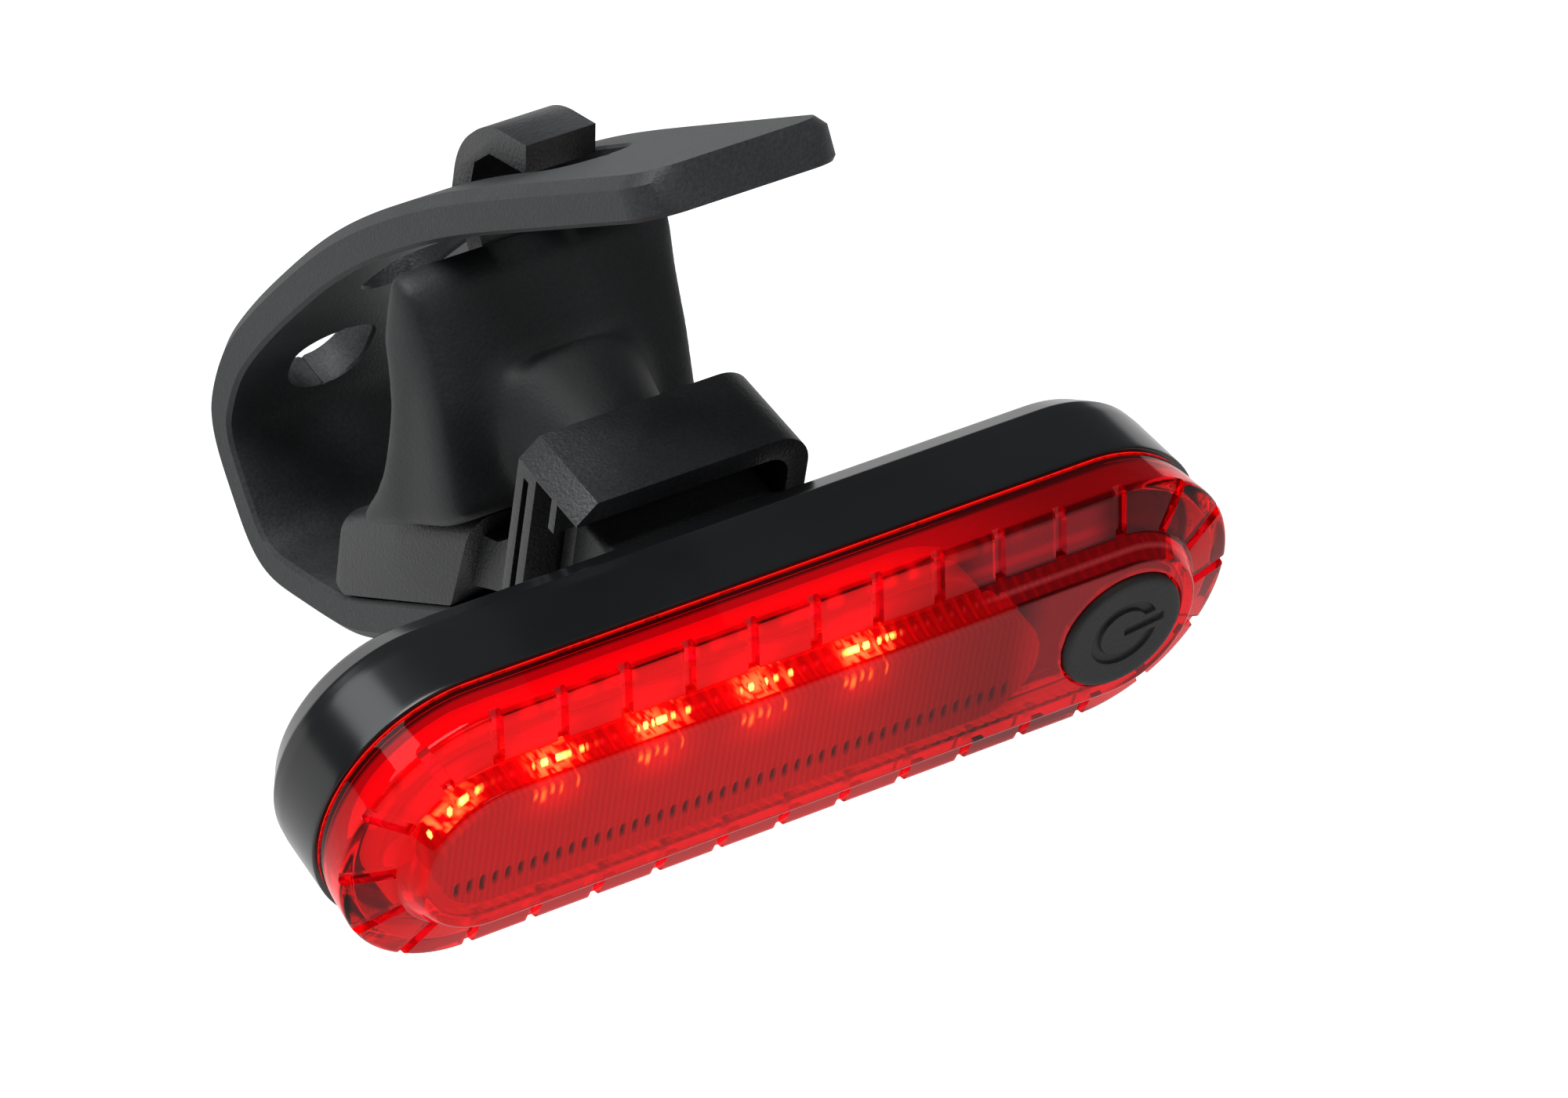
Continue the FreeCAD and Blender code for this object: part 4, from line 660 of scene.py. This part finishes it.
# Strap. One band of moulded black rubber, bevelled along its outer edges, with three round-ended
# slots. It runs from the stud under the block round the tube and is hooked on by its first slot.
strap_half, strap_thick, strap_bevel, slot_half = 8.0, 3.2, 0.8, 3.25
strap_corners = [(24.2, -12.8), (38.8, -24.2), (50.2, -28.3), (58.2, -20.8), (57.3, -13.4), (53.3, -6.8),
                 (45.2, 6.0), (33.9, 17.9), (10.64, 37.65)]
strap_line = round_corners(strap_corners, [12.0, 3.2, 4.5, 12.0, 0.0, 60.0, 80.0], 0.4)
keep = np.concatenate([[True], np.hypot(*np.diff(strap_line, axis=0).T) > 1e-6])
strap_line = strap_line[keep]
strap_run = np.concatenate([[0], np.cumsum(np.hypot(*np.diff(strap_line, axis=0).T))])
even_run = np.linspace(0, strap_run[-1], 401)
even_line = np.stack([np.interp(even_run, strap_run, strap_line[:, k]) for k in (0, 1)], axis=1)
reach = 40
before = 2 * even_line[0] - even_line[reach:0:-1]
after = 2 * even_line[-1] - even_line[-2:-reach - 2:-1]
padded = np.vstack([before, even_line, after])
eased = []
for spread in (13, reach):
    weights = np.hanning(2 * spread + 3)[1:-1]
    weights /= weights.sum()
    inside = padded[reach - spread:len(padded) - reach + spread]
    eased.append(np.stack([np.convolve(inside[:, k], weights, "valid") for k in (0, 1)], axis=1))
past_heel = np.clip((even_run - 42.0) / 12.0, 0, 1)[:, None]
strap_line = eased[0] * (1 - past_heel) + eased[1] * past_heel
strap_run = np.concatenate([[0], np.cumsum(np.hypot(*np.diff(strap_line, axis=0).T))])


def near_route(point):
    """Length along the route at the place nearest to a point."""
    return strap_run[np.argmin(np.hypot(*(strap_line - np.array(point)).T))]


def on_legs(corners, distance):
    """Place on straight legs, measured back from their last corner."""
    for a, b in reversed(list(zip(corners, corners[1:]))):
        a, b = np.array(a), np.array(b)
        length = np.hypot(*(b - a))
        if distance <= length:
            return b + (a - b) / length * distance
        distance -= length


slots = []
for corners, start, length in ((strap_corners[5:], 18.6, 21.7), (strap_corners[5:], 43.9, 13.0),
                               (strap_corners[:6], 4.8, 8.0)):
    slots.append((near_route(on_legs(corners, start + length / 2)), length / 2))
stud_at = near_route(on_legs(strap_corners[:2], np.hypot(14.6, 11.4) / 2))
slots.append((stud_at, 2.1))
marks = [np.arange(0, strap_run[-1], 0.5), [strap_run[-1]]]
for (centre, half) in slots:
    arc = np.linspace(0, np.pi, 17)
    end_r = min(half, slot_half)
    marks += [centre - half + end_r * (1 - np.cos(arc / 2)), centre + half - end_r * (1 - np.cos(arc / 2))]
tip_r = 3.0
marks += [strap_run[-1] - tip_r * (1 - np.cos(np.linspace(0, np.pi / 2, 15)))]
route = np.unique(np.round(np.concatenate(marks), 3))
route = route[np.concatenate([[True], np.diff(route) > 0.02])]
way_y = np.interp(route, strap_run, strap_line[:, 0])
way_z = np.interp(route, strap_run, strap_line[:, 1])
tangent = np.stack([np.gradient(way_y, route), np.gradient(way_z, route)], axis=1)
kernel = np.hanning(9)[1:-1]
kernel /= kernel.sum()
even = np.arange(0, route[-1] + 0.3, 0.3)
smooth = np.stack([np.convolve(np.pad(np.interp(even, route, tangent[:, k]), 3, "edge"), kernel, "valid")
                   for k in (0, 1)], axis=1)
tangent = np.stack([np.interp(route, even, smooth[:, k]) for k in (0, 1)], axis=1)
tangent /= np.hypot(*tangent.T)[:, None]
inward = np.stack([-tangent[:, 1], tangent[:, 0]], axis=1)
hole = np.zeros_like(route)
for (centre, half) in slots:
    end_r = min(half, slot_half)
    beyond = np.clip(np.abs(route - centre) - (half - end_r), 0, end_r)
    opening = np.sqrt(np.clip(end_r ** 2 - beyond ** 2, 0, None))
    hole = np.maximum(hole, np.where(np.abs(route - centre) < half - 1e-4, opening, 0))
tip = np.clip((route - (strap_run[-1] - tip_r)) / tip_r, 0, 1)
heel = np.clip((2.0 - route) / 2.0, 0, 1)
wide = (strap_half - tip_r * (1 - np.sqrt(np.clip(1 - tip ** 2, 0, 1)))
        - 1.5 * (1 - np.sqrt(np.clip(1 - heel ** 2, 0, 1))))
half_t = strap_thick / 2
lip = 0.22
share = np.linspace(0, 1, 6)


def strap_side(level, bevel, small):
    """Half of one face of the band, from the slot's edge to the band's edge."""
    start = hole + np.where(hole > 0, lip, 0)
    end = wide - bevel
    flat = start[:, None] + (end - start)[:, None] * share[None, :]
    x = np.concatenate([hole[:, None], flat, wide[:, None]], axis=1)
    at_slot = np.where(hole > 0, level - np.sign(level) * lip, level)[:, None]
    at_edge = np.full((len(hole), 1), level - np.sign(level) * small)
    return x, np.concatenate([at_slot, np.full_like(flat, level), at_edge], axis=1)


outer_x, outer_n = strap_side(-half_t, strap_bevel, strap_bevel)
inner_x, inner_n = strap_side(half_t, 0.3, 0.3)
loop_x = np.concatenate([outer_x, inner_x[:, ::-1]], axis=1)
loop_n = np.concatenate([outer_n, inner_n[:, ::-1]], axis=1)
count = loop_x.shape[1]
strap_y = way_y[:, None] + inward[:, :1] * loop_n
strap_z = way_z[:, None] + inward[:, 1:] * loop_n
half_band = np.stack([loop_x, strap_y, strap_z], axis=-1)
band_faces = grid_faces(len(route), count, ring=False)
slot_wall = np.flatnonzero((hole[:-1] > 0) | (hole[1:] > 0))
wall_faces = np.stack([slot_wall * count + count - 1, slot_wall * count, (slot_wall + 1) * count,
                       (slot_wall + 1) * count + count - 1], axis=-1)
k = np.arange(count // 2 - 1)
caps = [row * count + np.stack([k, k + 1, count - 2 - k, count - 1 - k], axis=-1)
        for row in (0, len(route) - 1)]
strap_faces = np.vstack([band_faces, wall_faces] + caps)
mirrored = half_band * np.array([-1, 1, 1])
strap_rubber = moulded("strap_rubber", (0.0140, 0.0162, 0.0182), (0.095, 0.100, 0.104), 0.30,
                       0.22, 0.05, 0.50, 0.14)
strap = add_piece("rubber_strap", [(half_band, strap_faces), (mirrored, strap_faces)], strap_rubber,
                  crease=28.0)
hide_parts("strap_run", "strap_root")
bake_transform(strap)


# Dock and hook. One moulding in glass-filled nylon with an eroded, satin surface: the dock that
# takes the rail, the neck, the lower block with the strap's stud, and the hook above.
def softened_copy(name, source, material, width, crease=32.0, soft_above=None):
    """A copy of a CAD solid, merged, with its flat faces joined and its edges rounded. Edges above
    a height in millimetres are rounded twice as much."""
    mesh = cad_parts[source].data.copy()
    mesh.name = name
    work = bmesh.new()
    work.from_mesh(mesh)
    bmesh.ops.remove_doubles(work, verts=work.verts, dist=2e-6)
    bmesh.ops.dissolve_limit(work, angle_limit=np.radians(1.0), verts=work.verts, edges=work.edges)
    bmesh.ops.recalc_face_normals(work, faces=work.faces)
    weight = work.edges.layers.float.new("bevel_weight_edge")
    for edge in work.edges:
        high = soft_above is not None and min(end.co.z for end in edge.verts) * 1000 > soft_above
        if edge.calc_face_angle(0.0) > np.radians(crease):
            edge[weight] = 1.0 if high else 0.5
    work.to_mesh(mesh)
    work.free()
    mesh.materials.clear()
    mesh.materials.append(material)
    mesh.polygons.foreach_set("use_smooth", np.ones(len(mesh.polygons), bool))
    piece = bpy.data.objects.new(name, mesh)
    scene.collection.objects.link(piece)
    if width:
        rounding = piece.modifiers.new("rounded_edges", "BEVEL")
        rounding.width = 2 * width / 1000.0
        rounding.segments = 3
        rounding.limit_method = "WEIGHT"
        rounding.harden_normals = True
    return piece


satin_black = moulded("satin_black_nylon", (0.0125, 0.0132, 0.0148), (0.085, 0.09, 0.097), 0.24,
                      0.24, 0.06, 0.38, 0.12)
dock = softened_copy("dock_and_hook", "dock_bracket", satin_black, 0.28, soft_above=10.6)
settle(dock, "mount", "dock_bracket", "dock_bracket")

# Saddle. A wedge of soft black rubber pushed over the neck, hollow at its back where it grips the
# tube, with a wide flange there and a boss round the neck.
pad_rubber = moulded("saddle_rubber", (0.0085, 0.0097, 0.0110), (0.055, 0.059, 0.063), 0.20,
                     0.30, 0.03, 0.52, 0.14)
saddle = softened_copy("rubber_saddle", "saddle_pad", pad_rubber, 0.0)
closing = saddle.modifiers.new("even_skin", "REMESH")
closing.mode = "VOXEL"
closing.voxel_size = 0.00045
closing.use_smooth_shade = True
evening = saddle.modifiers.new("rounded_edges", "SMOOTH")
evening.factor = 0.5
evening.iterations = 45
settle(saddle, "mount", "saddle_pad", "saddle_pad")

# Port flap. A small plug of soft rubber in the lower wall, hinged at its left end.
flap_rubber = moulded("flap_rubber", (0.008, 0.0083, 0.009), (0.06, 0.06, 0.06), 0.2, 0.20, 0.02, 0.55, 0.10)
flap = softened_copy("rubber_flap", "port_flap", flap_rubber, 0.18)
settle(flap, "port_cover", "port_flap", "port_flap")

# Seal and foam pad. The seal is a ring of pale silicone under the skirt of the lens; the pad is
# grey foam between the cell and the back wall.
seal_profile = round_corners(
    [(8.7, 1.08), (9.02, 1.08), (9.02, 1.55), (8.42, 1.55), (8.42, 1.08), (8.7, 1.08)], [0.14] * 4, 0.2)
plain_track = rim_track(np.linspace(-half_run, half_run, 26), line_angles[::2], 0 * line_angles[::2])
seal_grid = rim_points(plain_track, seal_profile[:, 0][None, :], seal_profile[:, 1][None, :])
seal_silicone = moulded("seal_silicone", (0.10, 0.02, 0.02), (0.3, 0.3, 0.3), 0.1, 0.4, 0.01, 0.5, 0.1)
seal = add_piece("silicone_seal", [(seal_grid, grid_faces(*seal_grid.shape[:2]))], seal_silicone)
settle(seal, "light", "lens_seal", "lens_seal")
foam_grey = moulded("grey_foam", (0.06, 0.06, 0.065), (0.2, 0.2, 0.2), 0.3, 0.25, 0.08, 0.9, 0.05)
foam_outline = rounded_rectangle((-6.0, 6.26), (6.0, 6.64), 0.12)
foam = add_bars("foam_pad", [extruded_bar(foam_outline, -26.4, 1.4, 0.1)], [], foam_grey)
settle(foam, "light", "battery_pad", "battery_pad")

# Inner parts. The reflector tray is white plastic, the board is green glass fibre under solder
# mask, and the metal parts are plated steel and nickel.
tray_white, tree, shader = new_material("tray_white", Roughness=0.45, Emission_Strength=1.0)
place = node(tree, "ShaderNodeTexCoord").outputs["Object"]
axes = node(tree, "ShaderNodeSeparateXYZ", Vector=place)
cloud = node(tree, "ShaderNodeTexNoise", Vector=place, Scale=600.0, Detail=2.0)
paint = node(tree, "ShaderNodeMix", {"data_type": "RGBA"}, i0=cloud.outputs["Fac"], i6=(0.72, 0.70, 0.68, 1),
             i7=(0.80, 0.78, 0.76, 1))
tree.links.new(paint.outputs[2], shader.inputs["Base Color"])
# The tray's red emission is painted light from the LEDs: it is full at the left and fades out between 4 and
# 16 mm along X.
fade = node(tree, "ShaderNodeMapRange", {"interpolation_type": "SMOOTHSTEP"}, Value=axes.outputs["X"],
            From_Min=0.004, From_Max=0.016, To_Min=1.0, To_Max=0.05)
lit = node(tree, "ShaderNodeMix", {"data_type": "RGBA"}, i0=fade.outputs[0], i6=(0.01, 0.002, 0.002, 1),
           i7=(0.55, 0.05, 0.05, 1))
tree.links.new(lit.outputs[2], shader.inputs["Emission Color"])

led_body, tree, shader = new_material(
    "led_lit", Base_Color=(0.8, 0.75, 0.6, 1), Roughness=0.3, Emission_Strength=1.0)
place = node(tree, "ShaderNodeTexCoord").outputs["Object"]
axes = node(tree, "ShaderNodeSeparateXYZ", Vector=place)
row = wave(tree, axes.outputs["X"], -0.0253, 0.0082, 0.0009, 0.0005)
tall = node(tree, "ShaderNodeMath", {"operation": "ABSOLUTE"}, i0=axes.outputs["Z"])
round_z = node(tree, "ShaderNodeMapRange", Value=tall.outputs[0], From_Min=0.0009, From_Max=0.0013,
               To_Min=1.0, To_Max=0.0)
lit = node(tree, "ShaderNodeMix", {"data_type": "RGBA"}, i0=product(tree, row, round_z.outputs[0]),
           i6=(1.5, 0.5, 0.2, 1), i7=(26.0, 34.0, 5.0, 1))
tree.links.new(lit.outputs[2], shader.inputs["Emission Color"])

inner_finishes = {
    "circuit_board": moulded("board_mask", (0.010, 0.045, 0.020), (0.2, 0.2, 0.15), 0.1, 0.5, 0.01, 0.35,
                             0.1),
    "driver_chip": moulded("chip_epoxy", (0.015, 0.015, 0.016), (0.1, 0.1, 0.1), 0.1, 0.1, 0.01, 0.5, 0.1),
    "board_parts": moulded("ceramic_tan", (0.30, 0.22, 0.14), (0.4, 0.4, 0.4), 0.1, 0.2, 0.01, 0.4, 0.1),
    "board_screws": moulded("screw_steel", (0.50, 0.50, 0.52), (0.3, 0.3, 0.3), 0.1, 0.3, 0.008, 0.28, 0.1,
                            Metallic=1.0),
    "tact_switch": moulded("switch_steel", (0.45, 0.45, 0.46), (0.3, 0.3, 0.3), 0.1, 0.3, 0.008, 0.32, 0.1,
                           Metallic=0.9),
    "switch_plunger": moulded("plunger_black", (0.02, 0.02, 0.02), (0.1, 0.1, 0.1), 0.1, 0.3, 0.01, 0.5, 0.1),
    "battery_cell": moulded("cell_foil", (0.42, 0.43, 0.45), (0.4, 0.4, 0.4), 0.1, 1.5, 0.05, 0.35, 0.1,
                            Metallic=0.8),
    "battery_tabs": moulded("tab_nickel", (0.60, 0.57, 0.52), (0.4, 0.4, 0.4), 0.1, 0.4, 0.01, 0.3, 0.1,
                            Metallic=1.0),
    "charging_socket": moulded("socket_steel", (0.55, 0.55, 0.56), (0.4, 0.4, 0.4), 0.1, 0.4, 0.01, 0.25, 0.1,
                               Metallic=1.0),
    "socket_tongue": moulded("tongue_black", (0.02, 0.02, 0.02), (0.1, 0.1, 0.1), 0.1, 0.3, 0.01, 0.5, 0.1),
    "led_reflector": tray_white,
    "led_chips": led_body,
}
for name, material in inner_finishes.items():
    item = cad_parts[name]
    if not item.material_slots:
        item.data.materials.append(material)
    for entry in item.material_slots:
        entry.material = material

corners = [[[float(v) for v in corner] for corner in box] for box in (cad_box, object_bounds())]
